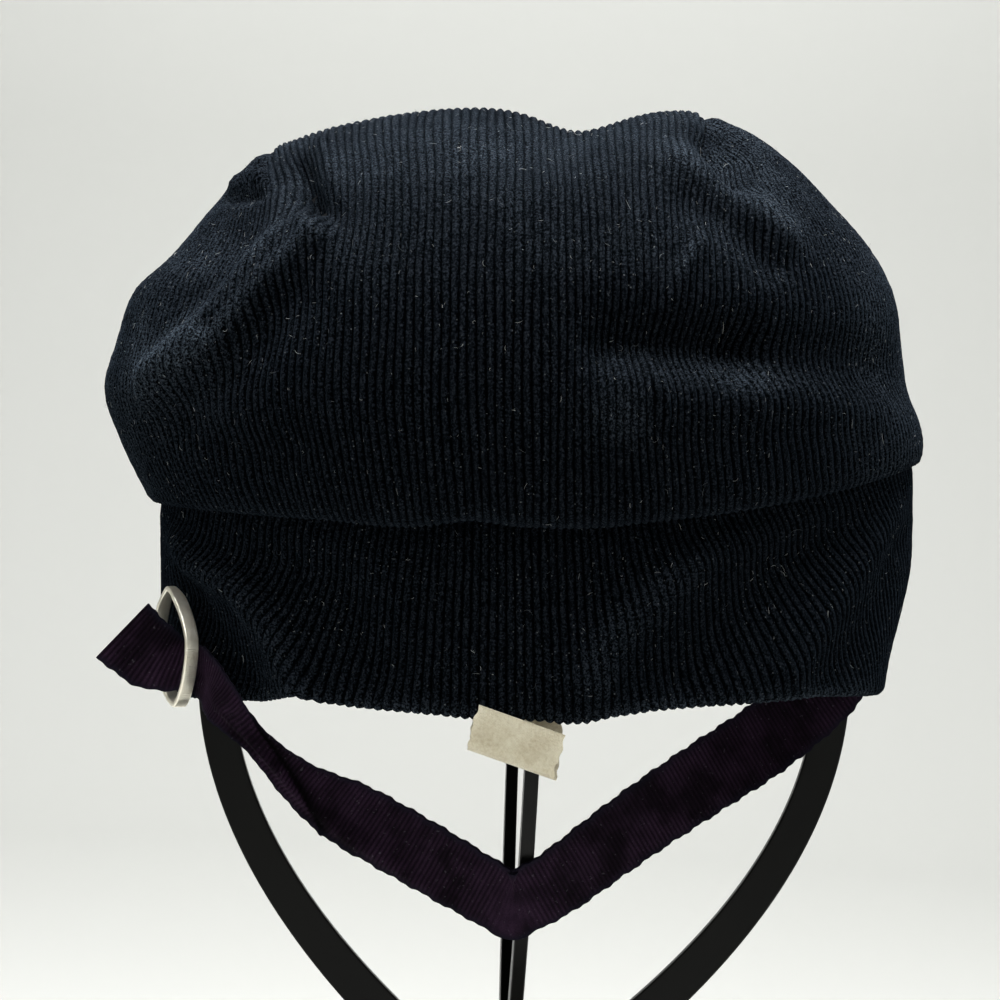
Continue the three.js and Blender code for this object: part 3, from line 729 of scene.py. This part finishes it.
# %% Rows of a route
def smooth_rows(rows, long, spacing):
    """Rows of a table, smoothed and respaced evenly. What a row leaves out, after the first, is 0."""
    keys = list(rows[0])
    table = np.array([[row.get(key, 0) for key in keys] for row in rows], float)
    at = np.linspace(0, len(rows) - 1, 60 * len(rows))
    first = np.minimum(at.astype(int), len(rows) - 2)
    t = (at - first)[:, None]
    before, start = table[np.maximum(first - 1, 0)], table[first]
    end, after = table[first + 1], table[np.minimum(first + 2, len(rows) - 1)]
    smooth = start + (end - before + ((2 * before - 5 * start + 4 * end - after)
                                      + (-before + 3 * start - 3 * end + after) * t) * t) * t / 2
    steps = np.linalg.norm(np.diff(smooth[:, :3], axis=0), axis=1)
    length = np.concatenate([[0], np.cumsum(steps)])
    count = int(length[-1] / spacing) + 1
    even = np.linspace(0, length[-1], count)
    print(long, "is", round(length[-1], 1), "mm long")
    return {key: np.interp(even, length, smooth[:, i]) for i, key in enumerate(keys)}, even


def ribbon_frame(rows):
    """Middle line, direction across the ribbon and direction out of its face."""
    middle = np.stack([rows["x"], rows["y"], rows["z"]], axis=-1)
    level, lean = np.radians(rows["level"]), np.radians(rows["lean"])
    across = np.stack([np.sin(level) * np.cos(lean), -np.sin(lean), np.cos(level) * np.cos(lean)], axis=-1)
    run = np.gradient(middle, axis=0)
    return middle, across, unit(np.cross(across, run))


# %% Roll, fold and ribs of a ribbon
ROLL = {"per_spare": 1.4, "most": 1.7, "wide_above": 0.4, "wide_below": 0.18}
FOLD = {"step": 0.9, "sharp": 0.06, "shade_above": 0.45, "shade_below": 0.07}
SELVAGE_WIDE = 0.09
SELVAGE_DARK = 0.13


def ribbon_relief(rows, along, place, full_wide):
    """How far roll and fold stand out of a ribbon's plane, and how much shade is painted beside the fold's
    crease.
    """
    def row(key, otherwise=0.0):
        return rows[key][along] if key in rows else np.full(along.shape, otherwise)

    narrow = row("wide") / full_wide
    spare = np.sqrt(np.maximum(1 - narrow**2, 0)) * full_wide / 4
    off_roll = place - row("roll")
    roll_wide = np.where(off_roll > 0, ROLL["wide_above"], ROLL["wide_below"])
    rolled = np.minimum(spare * ROLL["per_spare"], ROLL["most"]) * bell(off_roll, roll_wide)
    rolled = (rolled + row("cup") * place**2) * row("swell", 1.0)
    # The crease mark is painted shade, wider on the side above the fold.
    off_crease = place - row("crease", -9.0)
    crease = bell(off_crease, np.where(off_crease > 0, FOLD["shade_above"], FOLD["shade_below"]))
    below = ease(FOLD["sharp"], -FOLD["sharp"], off_crease)
    return rolled + FOLD["step"] * below * ease(2.0, 1.2, row("crease", -9.0)), crease


# %% Ribbon builder
def ribbon(name, rows, even, full_wide, thick, rib, material, columns=25):
    """A closed ribbon: its face, its selvages and its back, with ribs across it."""
    middle, across, face = ribbon_frame(rows)
    place = np.sin(np.linspace(-1, 1, columns) * 1.45) / math.sin(1.45)
    along, place = np.meshgrid(np.arange(len(even)), place, indexing="ij")
    rolled, crease = ribbon_relief(rows, along, place, full_wide)
    ribs = 0.5 + 0.5 * np.cos(2 * math.pi * even / rib["pitch"])
    from_edge = np.abs(place) - 1
    smooth = np.maximum(bell(from_edge, SELVAGE_WIDE), rows.get("bend", 0 * even)[along])
    rib_here = mix(ribs[along], 0.75, smooth)
    half = thick / 2 + rib["high"] * (rib_here - 0.5)
    wavy = 1 + 0.02 * np.sin(0.9 * even) + 0.015 * np.sin(2.3 * even + 1)
    spread = middle[along] + across[along] * (place * (rows["wide"] * wavy)[along] / 2)[..., None]
    out = face[along]
    front_face = spread + out * (half - rolled)[..., None]
    back_face = spread - out * (half + rolled)[..., None]
    points = np.concatenate([front_face, back_face[:, ::-1]], axis=1)
    # The crease mark carries the painted shade beside the fold.
    marks = {"rib": rib_here, "edge": bell(from_edge, SELVAGE_DARK), "crease": crease}
    marks = {mark: np.concatenate([one, one[:, ::-1]], axis=1) for mark, one in marks.items()}
    faces = join_grid(*points.shape[:2], wrap_columns=True).tolist()
    count = points.shape[1]
    faces += [list(range(count))[::-1], [(len(even) - 1) * count + step for step in range(count)]]
    return make_piece(name, points, faces, material, marks)


# %% Chin strap
STRAP_WIDE = 16
STRAP_RIB = {"pitch": 1.0, "high": 0.22}
STRAP_THICK = 0.6
ROLL_SIDE = [(-72, -0.3), (-64, 1)]
FOLD_LINE = [(-90, 3), (-68, 3), (-63, 1), (-42, -1), (-38, -3)]
STRAP = [
    {"x": -90.0, "y": -49, "z": 18.5, "lean": 0, "wide": 16, "level": 44, "roll": 0, "cup": 0},
    {"x": -84.0, "y": -48.5, "z": 13.2, "wide": 15.2, "level": 36, "roll": -0.2, "cup": 1.2},
    {"x": -78.8, "y": -48.0, "z": 11.0, "wide": 12.5, "level": 22},
    {"x": -75.2, "y": -49.4, "z": 10.8, "wide": 10.2, "level": 12},
    {"x": -71.6, "y": -54.8, "z": 9.0, "wide": 10.8, "level": 8, "roll": -0.15},
    {"x": -66.6, "y": -64.8, "z": 3.4, "wide": 8.6, "level": 38, "roll": -0.2},
    {"x": -59.4, "y": -68.0, "z": -3.7, "wide": 5.8, "level": 46, "roll": -0.3},
    {"x": -51.0, "y": -64.5, "z": -12.3, "lean": 5, "wide": 9.2, "level": 42, "roll": -0.45},
    {"x": -41.0, "y": -61, "z": -19.3, "lean": 10, "wide": 14.5, "level": 36, "roll": -0.6},
    {"x": -32.0, "y": -61.5, "z": -24.3, "lean": 15, "wide": 15.4, "level": 31, "roll": -0.68},
    {"x": -23.0, "y": -63, "z": -29.2, "lean": 20, "wide": 15.8, "level": 28, "roll": -0.75},
    {"x": -14.0, "y": -65, "z": -34.2, "lean": 25, "wide": 16, "level": 27, "roll": -0.75},
    {"x": -8.0, "y": -66.4, "z": -37.5, "lean": 28, "wide": 16.4, "level": 24},
    {"x": -5.6, "y": -66.8, "z": -38.7, "lean": 29, "wide": 17, "level": 0},
    {"x": -3.2, "y": -66.5, "z": -37.4, "lean": 28, "wide": 16.4, "level": -25},
    {"x": 4.0, "y": -65.8, "z": -33.5, "lean": 25, "wide": 16, "level": -28},
    {"x": 14.5, "y": -61, "z": -26.5, "lean": 20, "wide": 16, "level": -30},
    {"x": 24.0, "y": -57, "z": -20.3, "lean": 15, "wide": 16, "level": -30},
    {"x": 36.0, "y": -51, "z": -13.2, "lean": 8, "wide": 16, "level": -30},
    {"x": 50.5, "y": -42, "z": -5.0, "wide": 16, "level": -30},
    {"x": 64.0, "y": -34, "z": 5.0, "lean": 8, "wide": 16, "level": -36},
    {"x": 71.0, "y": -31, "z": 13.0, "lean": 40, "wide": 16, "level": -44},
    {"x": 75.8, "y": -28, "z": 24.5, "lean": 76, "wide": 16, "level": -55},
]
strap_rows, strap_even = smooth_rows(STRAP, "chin strap", STRAP_RIB["pitch"] / 4)
# At the V the ribbon is pressed flat, so its ribs fade there.
strap_rows["bend"] = 0.8 * bell(strap_rows["x"] + 5.6, 3.5)
# In the ring the roll lies a little towards the band, and beyond it on the outer side.
strap_rows["swell"] = np.interp(strap_rows["x"], *np.array(ROLL_SIDE).T)
# Below the ring one edge folds over the other: the fold's line runs from the top edge, 1, to the
# bottom edge, -1, and is off the ribbon elsewhere.
strap_rows["crease"] = np.interp(strap_rows["x"], *np.array(FOLD_LINE).T)
strap = ribbon("strap_ribbon", strap_rows, strap_even, STRAP_WIDE, STRAP_THICK, STRAP_RIB, GROSGRAIN)
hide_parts("chin_strap")

# %% [markdown]
# ## Ring
# The ring is a band of plated metal bent into a pointed oval, with softly rounded edges and fine
# lines across one side of its lower half. It hangs nearly edge-on at the side, and the ribbon is
# gathered to pass through it. A bevelled curve could give its bar, but rings of points carried
# round a path also let the bar thin at the top and take the lines.

# %% Ring
LINES = {"pitch": 0.5, "deep": 0.035}
RING = {"long": 26.4, "wide": 20.5, "band": 3, "wire": 1.1, "point": 1.35}
RING_STEPS = 900
RING_EDGE = 0.35
PLATE_PALE = (0.95, 0.91, 0.79, 1)
PLATE_WORN = (0.86, 0.80, 0.66, 1)
RING_PLACE = {"x": -78.7, "y": -47.8, "z": 14.9, "lean": -11.4, "turn": -62}


def ring_finish():
    metal = Recipe("plated_metal", Metallic=0.8, Roughness=0.35)
    wear = metal.noise(420, 3, 0.5)
    colour = metal.blend(metal.ramp(wear, 0.35, 0.7), PLATE_PALE, PLATE_WORN)
    rough = metal.ramp(metal.noise(900, 3, 0.6), 0.3, 0.7, 0.28, 0.42)
    return metal.feed(Base_Color=colour, Roughness=rough)


def ring_to_cap(points):
    lean, turn = math.radians(RING_PLACE["lean"]), math.radians(RING_PLACE["turn"])
    spin = np.array(Matrix.Rotation(turn, 3, "Z") @ Matrix.Rotation(lean, 3, "Y"))
    return points @ spin.T + (RING_PLACE["x"], RING_PLACE["y"], RING_PLACE["z"])


def rounded_box_outline(wide, thick, radius, corner=4):
    """A flat bar's section, as points round it, with rounded corners."""
    points = []
    for centre_x, centre_y, start in ((1, 1, 0), (-1, 1, 90), (-1, -1, 180), (1, -1, 270)):
        for step in range(corner + 1):
            angle = math.radians(start + 90 * step / corner)
            points.append((centre_x * (wide / 2 - radius) + radius * math.cos(angle),
                           centre_y * (thick / 2 - radius) + radius * math.sin(angle)))
    return np.array(points)


def metal_ring():
    turn = np.linspace(0, 2 * math.pi, RING_STEPS, endpoint=False)
    inset = RING["wire"] / 2
    pointed = lambda value: np.sign(value) * np.abs(value) ** RING["point"]
    path = np.stack([pointed(np.cos(turn)) * (RING["wide"] / 2 - inset), np.zeros_like(turn),
                     pointed(np.sin(turn)) * (RING["long"] / 2 - inset)], axis=-1)
    tangent = unit(np.roll(path, -1, axis=0) - np.roll(path, 1, axis=0))
    outward = np.stack([tangent[:, 2], np.zeros_like(turn), -tangent[:, 0]], axis=-1)
    taper = 1 - 0.3 * ease(0.8, 1.0, np.sin(turn))
    bar = rounded_box_outline(RING["wire"], RING["band"], RING_EDGE)
    gone = np.concatenate([[0], np.cumsum(np.linalg.norm(np.diff(path, axis=0), axis=1))])
    lined = ease(0.12, 0.25, -np.sin(turn)) * ease(0.97, 0.88, -np.sin(turn)) * (np.cos(turn) > 0)
    lines = LINES["deep"] * np.sin(2 * math.pi * gone / LINES["pitch"]) * lined
    points = path[:, None] + outward[:, None] * bar[None, :, :1] * (1 + lines / inset)[:, None, None]
    points = points + np.array([0, 1, 0]) * bar[None, :, 1:] * taper[:, None, None]
    faces = join_grid(*points.shape[:2], wrap_rows=True, wrap_columns=True)
    return make_piece("ring_metal", ring_to_cap(points), faces, ring_finish())


ring = metal_ring()
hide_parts("strap_ring")

# %% [markdown]
# ## Label
# A woven cotton tape is sewn in behind the hem and turned up over it. Its front flap hangs
# slightly askew, and its face is a fine plain weave. It is left bare. It is made by the ribbon's
# builder, with a finer rib and a finish of its own.

# %% Label
LABEL_WIDE = 18.4
LABEL_THICK = 0.55
LABEL_RIB = {"pitch": 0.5, "high": 0.08}
TAPE_STAINED = (0.60, 0.52, 0.36, 1)
TAPE_CREAM = (0.76, 0.70, 0.53, 1)
TAPE_GAP = (0.42, 0.36, 0.25, 1)
TAPE_PALE = (0.88, 0.84, 0.70, 1)
LABEL = [
    {"x": -5.0, "y": -90.4, "z": 15.0, "lean": 0, "wide": 18.4, "level": 90},
    {"x": -5.0, "y": -90.4, "z": 2.0, "lean": 0, "wide": 18.4, "level": 90},
    {"x": -5.2, "y": -91.6, "z": -3.2, "lean": 0, "wide": 18.4, "level": 102},
    {"x": -5.9, "y": -94.4, "z": -5.6, "lean": 0, "wide": 18.4, "level": 109},
    {"x": -6.0, "y": -96.8, "z": -3.8, "lean": 0, "wide": 18.4, "level": 109.5},
    {"x": -5.0, "y": -97.6, "z": -0.3, "lean": 0, "wide": 18.4, "level": 109.5},
    {"x": -3.9, "y": -97.8, "z": 3.5, "lean": 0, "wide": 18.4, "level": 109.5},
]


def label_finish():
    tape = Recipe("cotton_tape", Roughness=0.85, Sheen_Weight=0.25, Specular_IOR_Level=0.25)
    weave = tape.add("ShaderNodeTexChecker", {"Vector": tape.place, "Scale": 3600.0}).outputs["Fac"]
    stain = tape.ramp(tape.noise(160, 4, 0.65), 0.35, 0.65)
    grain = tape.ramp(tape.noise(1500, 3, 0.7), 0.38, 0.62)
    colour = tape.blend(stain, TAPE_STAINED, TAPE_CREAM)
    colour = tape.blend(tape.math("MULTIPLY", weave, 0.2), colour, TAPE_GAP)
    colour = tape.blend(tape.math("MULTIPLY", grain, 0.35), colour, TAPE_PALE)
    height = tape.math("ADD", tape.mark("rib"), tape.math("ADD", weave, grain))
    return tape.feed(Base_Color=colour, Normal=tape.bump(height, 0.5, 0.0003))


label_rows, label_even = smooth_rows(LABEL, "label", 0.12)
label = ribbon("label_tape", label_rows, label_even, LABEL_WIDE, LABEL_THICK, LABEL_RIB,
               label_finish(), columns=31)
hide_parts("label")

# %% [markdown]
# ## Lint
# Dark pile gathers pale lint. Each bit is a short curled fibre, about as thin as a hair, laid on
# the cloth where chance puts it. They could be curves, but tiny closed tubes of three sides in
# one mesh export as they are and catch the light as real fibres do.

# %% Lint
LINT_COUNT = {"crown": 2200, "band": 520}
LINT_GREYS = ((0.08, 0.09, 0.10, 1), (0.42, 0.43, 0.42, 1))
FIBRE_RINGS = 5
FIBRE_SIDES = 3
FIBRE = {"short": 0.3, "typical": 0.5, "longest": 2.4, "thin": 0.018, "thick": 0.038, "curl": 1.4,
         "off_cloth": 0.12, "rise": 0.03}
CAP_MIDDLE = (0, 0, 50)


def fibres_on(points, count):
    """Rings of points for curled fibres lying on a grid of points."""
    pick = np.random.default_rng(11 + count)
    rows = pick.integers(2, points.shape[0] - 3, count)
    columns = pick.integers(2, points.shape[1] - 3, count)
    start = points[rows, columns]
    along = unit(points[rows, columns + 1] - start)
    out = unit(np.cross(along, unit(points[rows + 2, columns] - start)))
    out *= np.sign(np.sum(out * (start - CAP_MIDDLE), axis=-1, keepdims=True))
    beside = np.cross(out, along)
    heading = pick.uniform(0, 2 * math.pi, count)
    curl = pick.normal(0, FIBRE["curl"], count)
    long = FIBRE["short"] + pick.exponential(FIBRE["typical"], count).clip(0, FIBRE["longest"])
    radius = pick.uniform(FIBRE["thin"], FIBRE["thick"], count)
    rings = []
    position = start + out * FIBRE["off_cloth"]
    for step in np.linspace(0, 1, FIBRE_RINGS):
        angle = heading + curl * step
        ahead = along * np.cos(angle)[:, None] + beside * np.sin(angle)[:, None]
        aside = np.cross(out, ahead)
        thin = radius[:, None] * (0.5 if step in (0, 1) else 1)
        sides = [2 * math.pi * side / FIBRE_SIDES for side in range(FIBRE_SIDES)]
        ring = [position + (out * math.cos(a) + aside * math.sin(a)) * thin for a in sides]
        rings.append(np.stack(ring, axis=1))
        position = position + ahead * (long / (FIBRE_RINGS - 1))[:, None] + out * FIBRE["rise"]
    return np.stack(rings, axis=1)


def fibre_faces(first):
    """The sides and the two ends of the fibre that starts at a point's number."""
    last = first + (FIBRE_RINGS - 1) * FIBRE_SIDES
    faces = [[first + 2, first + 1, first], [last, last + 1, last + 2]]
    for ring in range(first, last, FIBRE_SIDES):
        for side in range(FIBRE_SIDES):
            a, b = ring + side, ring + (side + 1) % FIBRE_SIDES
            faces.append([a, b, b + FIBRE_SIDES, a + FIBRE_SIDES])
    return faces


def lint():
    crown_grids = [middle_points, left_points, right_points]
    area = [grid.shape[0] * grid.shape[1] for grid in crown_grids]
    counts = [round(LINT_COUNT["crown"] * part / sum(area)) for part in area] + [LINT_COUNT["band"]]
    fibres = [fibres_on(grid, count) for grid, count in zip(crown_grids + [band_points], counts)]
    points = np.concatenate(fibres).reshape(-1, 3)
    firsts = range(0, len(points), FIBRE_RINGS * FIBRE_SIDES)
    faces = [face for first in firsts for face in fibre_faces(first)]
    pale = Recipe("pale_lint", Roughness=0.9, Specular_IOR_Level=0.2)
    pale.feed(Base_Color=pale.blend(pale.ramp(pale.noise(90, 2), 0.4, 0.6), *LINT_GREYS))
    return make_piece("lint", points, faces, pale.material)


lint()

# %% [markdown]
# ## Stand
# The two hoops are cut from one flat sheet and cross at the crest and at the stem. Real cut
# sheet has a small rounding on every edge, which is what catches the light, so each outline is
# drawn finely, given its thickness and bevelled.

# %% Stand finish
STAND_BLACKS = ((0.0022, 0.0022, 0.0020, 1), (0.0045, 0.0045, 0.004, 1))


def stand_finish():
    black = Recipe("satin_black", Roughness=0.34, Specular_IOR_Level=0.14)
    colour = black.blend(black.ramp(black.noise(30, 3), 0.35, 0.65), *STAND_BLACKS)
    rough = black.ramp(black.noise(700, 3, 0.6), 0.3, 0.7, 0.28, 0.42)
    grain = black.bump(black.noise(2600, 1), 0.05, 0.0001)
    return black.feed(Base_Color=colour, Roughness=rough, Normal=grain)


SATIN_BLACK = stand_finish()

# %% Hoops
STAND_TURN = math.radians(1.2)
SHEET = 3
BEVEL = 0.45
HOOP = {"half": 75.7, "widest_up": 5, "top": 121.85, "pinch": 0.00624, "narrow": 12}
WINDOW = {"half": 67.7, "widest_up": 5, "top": 113.9, "pinch": 0.0071, "narrow": 0.5}
BASE = {"radius": 80, "thick": 6, "pocket": 4, "bevel": 1}
STEM_FOOT = BASE["thick"] - BASE["pocket"] + 0.3 - HEM_UP


def hoop_side(outline, steps=48):
    """The right half of an outline, from its narrow foot up to the crest."""
    foot = outline["widest_up"] - math.sqrt((outline["half"] - outline["narrow"]) / outline["pinch"])
    up = np.linspace(foot, outline["widest_up"], steps)
    out = outline["half"] - outline["pinch"] * (up - outline["widest_up"]) ** 2
    turn = np.linspace(0, math.pi / 2, steps)[1:]
    upper_out = outline["half"] * np.cos(turn)
    upper_up = outline["widest_up"] + outline["top"] * np.sin(turn)
    return np.concatenate([np.stack([out, up], axis=-1), np.stack([upper_out, upper_up], axis=-1)])


def flat_piece(name, outlines, faces, turned):
    """Gives a flat outline its sheet thickness and rounds its edges."""
    flat = np.concatenate(outlines)
    spin = STAND_TURN + turned
    corners = []
    for side in (-SHEET / 2, SHEET / 2):
        corners += [((x * math.cos(spin) - side * math.sin(spin)) / 1000,
                     (x * math.sin(spin) + side * math.cos(spin)) / 1000,
                     (z + HEM_UP) / 1000) for x, z in flat]
    count = len(flat)
    edges = {}
    for face in faces:
        for a, b in zip(face, face[1:] + face[:1]):
            edges[(b, a)] = edges.get((b, a), 0) + 1
    rims = [(a, b) for (b, a) in edges if (a, b) not in edges]
    walls = [[a, b, b + count, a + count] for a, b in rims]
    near = [list(face)[::-1] for face in faces]
    far = [[corner + count for corner in face] for face in faces]
    piece = add_mesh(name, corners, near + far + walls, SATIN_BLACK)
    bevel = piece.modifiers.new("rounded_edges", "BEVEL")
    bevel.width, bevel.segments, bevel.limit_method = BEVEL / 1000, 3, "ANGLE"
    bevel.angle_limit = math.radians(50)
    bevel.harden_normals = True
    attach(piece, "root")
    return piece


def whole_outline(outline):
    """Both halves of an outline, from foot to foot over the crest."""
    right = hoop_side(outline)
    return np.concatenate([right, right[:-1][::-1] * (-1, 1)])


def hoop(name, node, turned):
    outer, window = whole_outline(HOOP), whole_outline(WINDOW)
    total = len(outer)
    faces = [[step, step + 1, total + step + 1, total + step] for step in range(total - 1)]
    feet = np.array([(HOOP["narrow"], STEM_FOOT), (-HOOP["narrow"], STEM_FOOT)])
    foot = 2 * total
    faces.append([0, total, 2 * total - 1, total - 1, foot + 1, foot])
    piece = flat_piece(name, [outer, window, feet], faces, turned)
    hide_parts(node)


hoop("hoop_wide", "side_hoop", 0)
hoop("hoop_deep", "cross_hoop", math.pi / 2)

# %% Base
BASE_STEPS = 180
FOOT_BEVEL = 0.4


def turned_shape(profile, steps):
    """Turns a profile of (out, up) points round the stand's middle line."""
    out, up = np.array(profile, float).T
    turn = np.linspace(0, 2 * math.pi, steps, endpoint=False)
    up = np.broadcast_to(up, (steps, len(out)))
    return np.stack([np.outer(np.cos(turn), out), np.outer(np.sin(turn), out), up], axis=-1)


def base():
    radius, thick, soft = BASE["radius"], BASE["thick"], BASE["bevel"]
    bend = np.linspace(0, math.pi / 2, 6)
    profile = [(radius - FOOT_BEVEL, 0), (radius, FOOT_BEVEL)]
    profile += [(radius - soft + soft * math.cos(a), thick - soft + soft * math.sin(a)) for a in bend]
    points = turned_shape(profile, BASE_STEPS)
    count = len(profile)
    faces = join_grid(BASE_STEPS, count, wrap_rows=True).tolist()
    faces.append([step * count for step in range(BASE_STEPS)][::-1])
    faces.append([step * count + count - 1 for step in range(BASE_STEPS)])
    corners = (points.reshape(-1, 3) / 1000).tolist()
    piece = add_mesh("base_disc", corners, faces, SATIN_BLACK, smooth=False)
    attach(piece, "root")
    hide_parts("stand_base")


base()

# %% [markdown]
# ## Room, light and camera
# A pale round sweep runs from the table up to a wall on every side. One wide soft light hangs
# overhead, a weak one fills from high in front, one washes the wall behind, and one the room.

# %% Sweep
FLOOR_OUT = 1.05
SWEEP_BEND = 0.45
WALL_HIGH = 2.4
SWEEP_STEPS = 96
PAPER = (0.52, 0.525, 0.505, 1)


def sweep():
    bend = np.linspace(0, math.pi / 2, 24)
    profile = [(FLOOR_OUT + SWEEP_BEND * math.sin(a), FLOOR + SWEEP_BEND * (1 - math.cos(a))) for a in bend]
    profile.append((FLOOR_OUT + SWEEP_BEND, FLOOR + WALL_HIGH))
    points = turned_shape(profile, SWEEP_STEPS)
    faces = join_grid(*points.shape[:2], wrap_rows=True)[:, ::-1].tolist()
    faces.append([step * len(profile) for step in range(SWEEP_STEPS)])
    pale = Recipe("pale_paper", Roughness=0.9, Specular_IOR_Level=0.2, Base_Color=PAPER)
    add_mesh("sweep", points.reshape(-1, 3).tolist(), faces, pale.material)


sweep()


# %% Lights
def area_light(name, place, aim, size, power, spread=180):
    lamp = bpy.data.lights.new(name, "AREA")
    lamp.shape, lamp.size, lamp.energy, lamp.spread = "SQUARE", size, power, math.radians(spread)
    piece = bpy.data.objects.new(name, lamp)
    piece.location = place
    away = (np.array(place) - np.array(aim)).tolist()
    piece.rotation_euler = Vector(away).to_track_quat("Z", "Y").to_euler()
    bpy.context.scene.collection.objects.link(piece)


area_light("overhead", (0.05, -0.1, 1.6), (0, -0.05, 0.2), 1.0, 18, spread=100)
area_light("front_high", (-0.3, -1.2, 1.6), (0, 0, 0.25), 0.8, 2.3, spread=80)
area_light("wall_wash", (0, 0.5, 1.3), (0, 1.5, 0.8), 0.8, 8, spread=110)
area_light("room_light", (0, 0, 2.2), (0, 0, 0), 1.4, 10)
world = bpy.data.worlds.new("room")
bpy.context.scene.world = world
world.use_nodes = True
sky = world.node_tree.nodes["Background"]
sky.inputs["Color"].default_value = (0.97, 0.99, 1.0, 1)
sky.inputs["Strength"].default_value = 0.06
bpy.context.scene.view_settings.view_transform = "Standard"
print("lights", len(bpy.data.lights))

# %% Camera
CAMERA_PLACE = (-8.35, -700, 58)
LOOK_DOWN = math.radians(1.0)
LENS = 108.6

look = np.array([0, math.cos(LOOK_DOWN), -math.sin(LOOK_DOWN)])
upright = np.array([0, math.sin(LOOK_DOWN), math.cos(LOOK_DOWN)])
turned = np.stack([tip(np.cross(look, upright)), tip(upright), tip(-look)], axis=-1)
camera = bpy.data.objects.new("camera", bpy.data.cameras.new("camera"))
camera.data.lens = LENS
place = Matrix.Translation(to_world(CAMERA_PLACE).tolist())
camera.matrix_world = place @ Matrix(turned.tolist()).to_4x4()
bpy.context.scene.collection.objects.link(camera)
bpy.context.scene.camera = camera
print("camera", [round(value, 3) for value in place.translation], "lens", LENS)
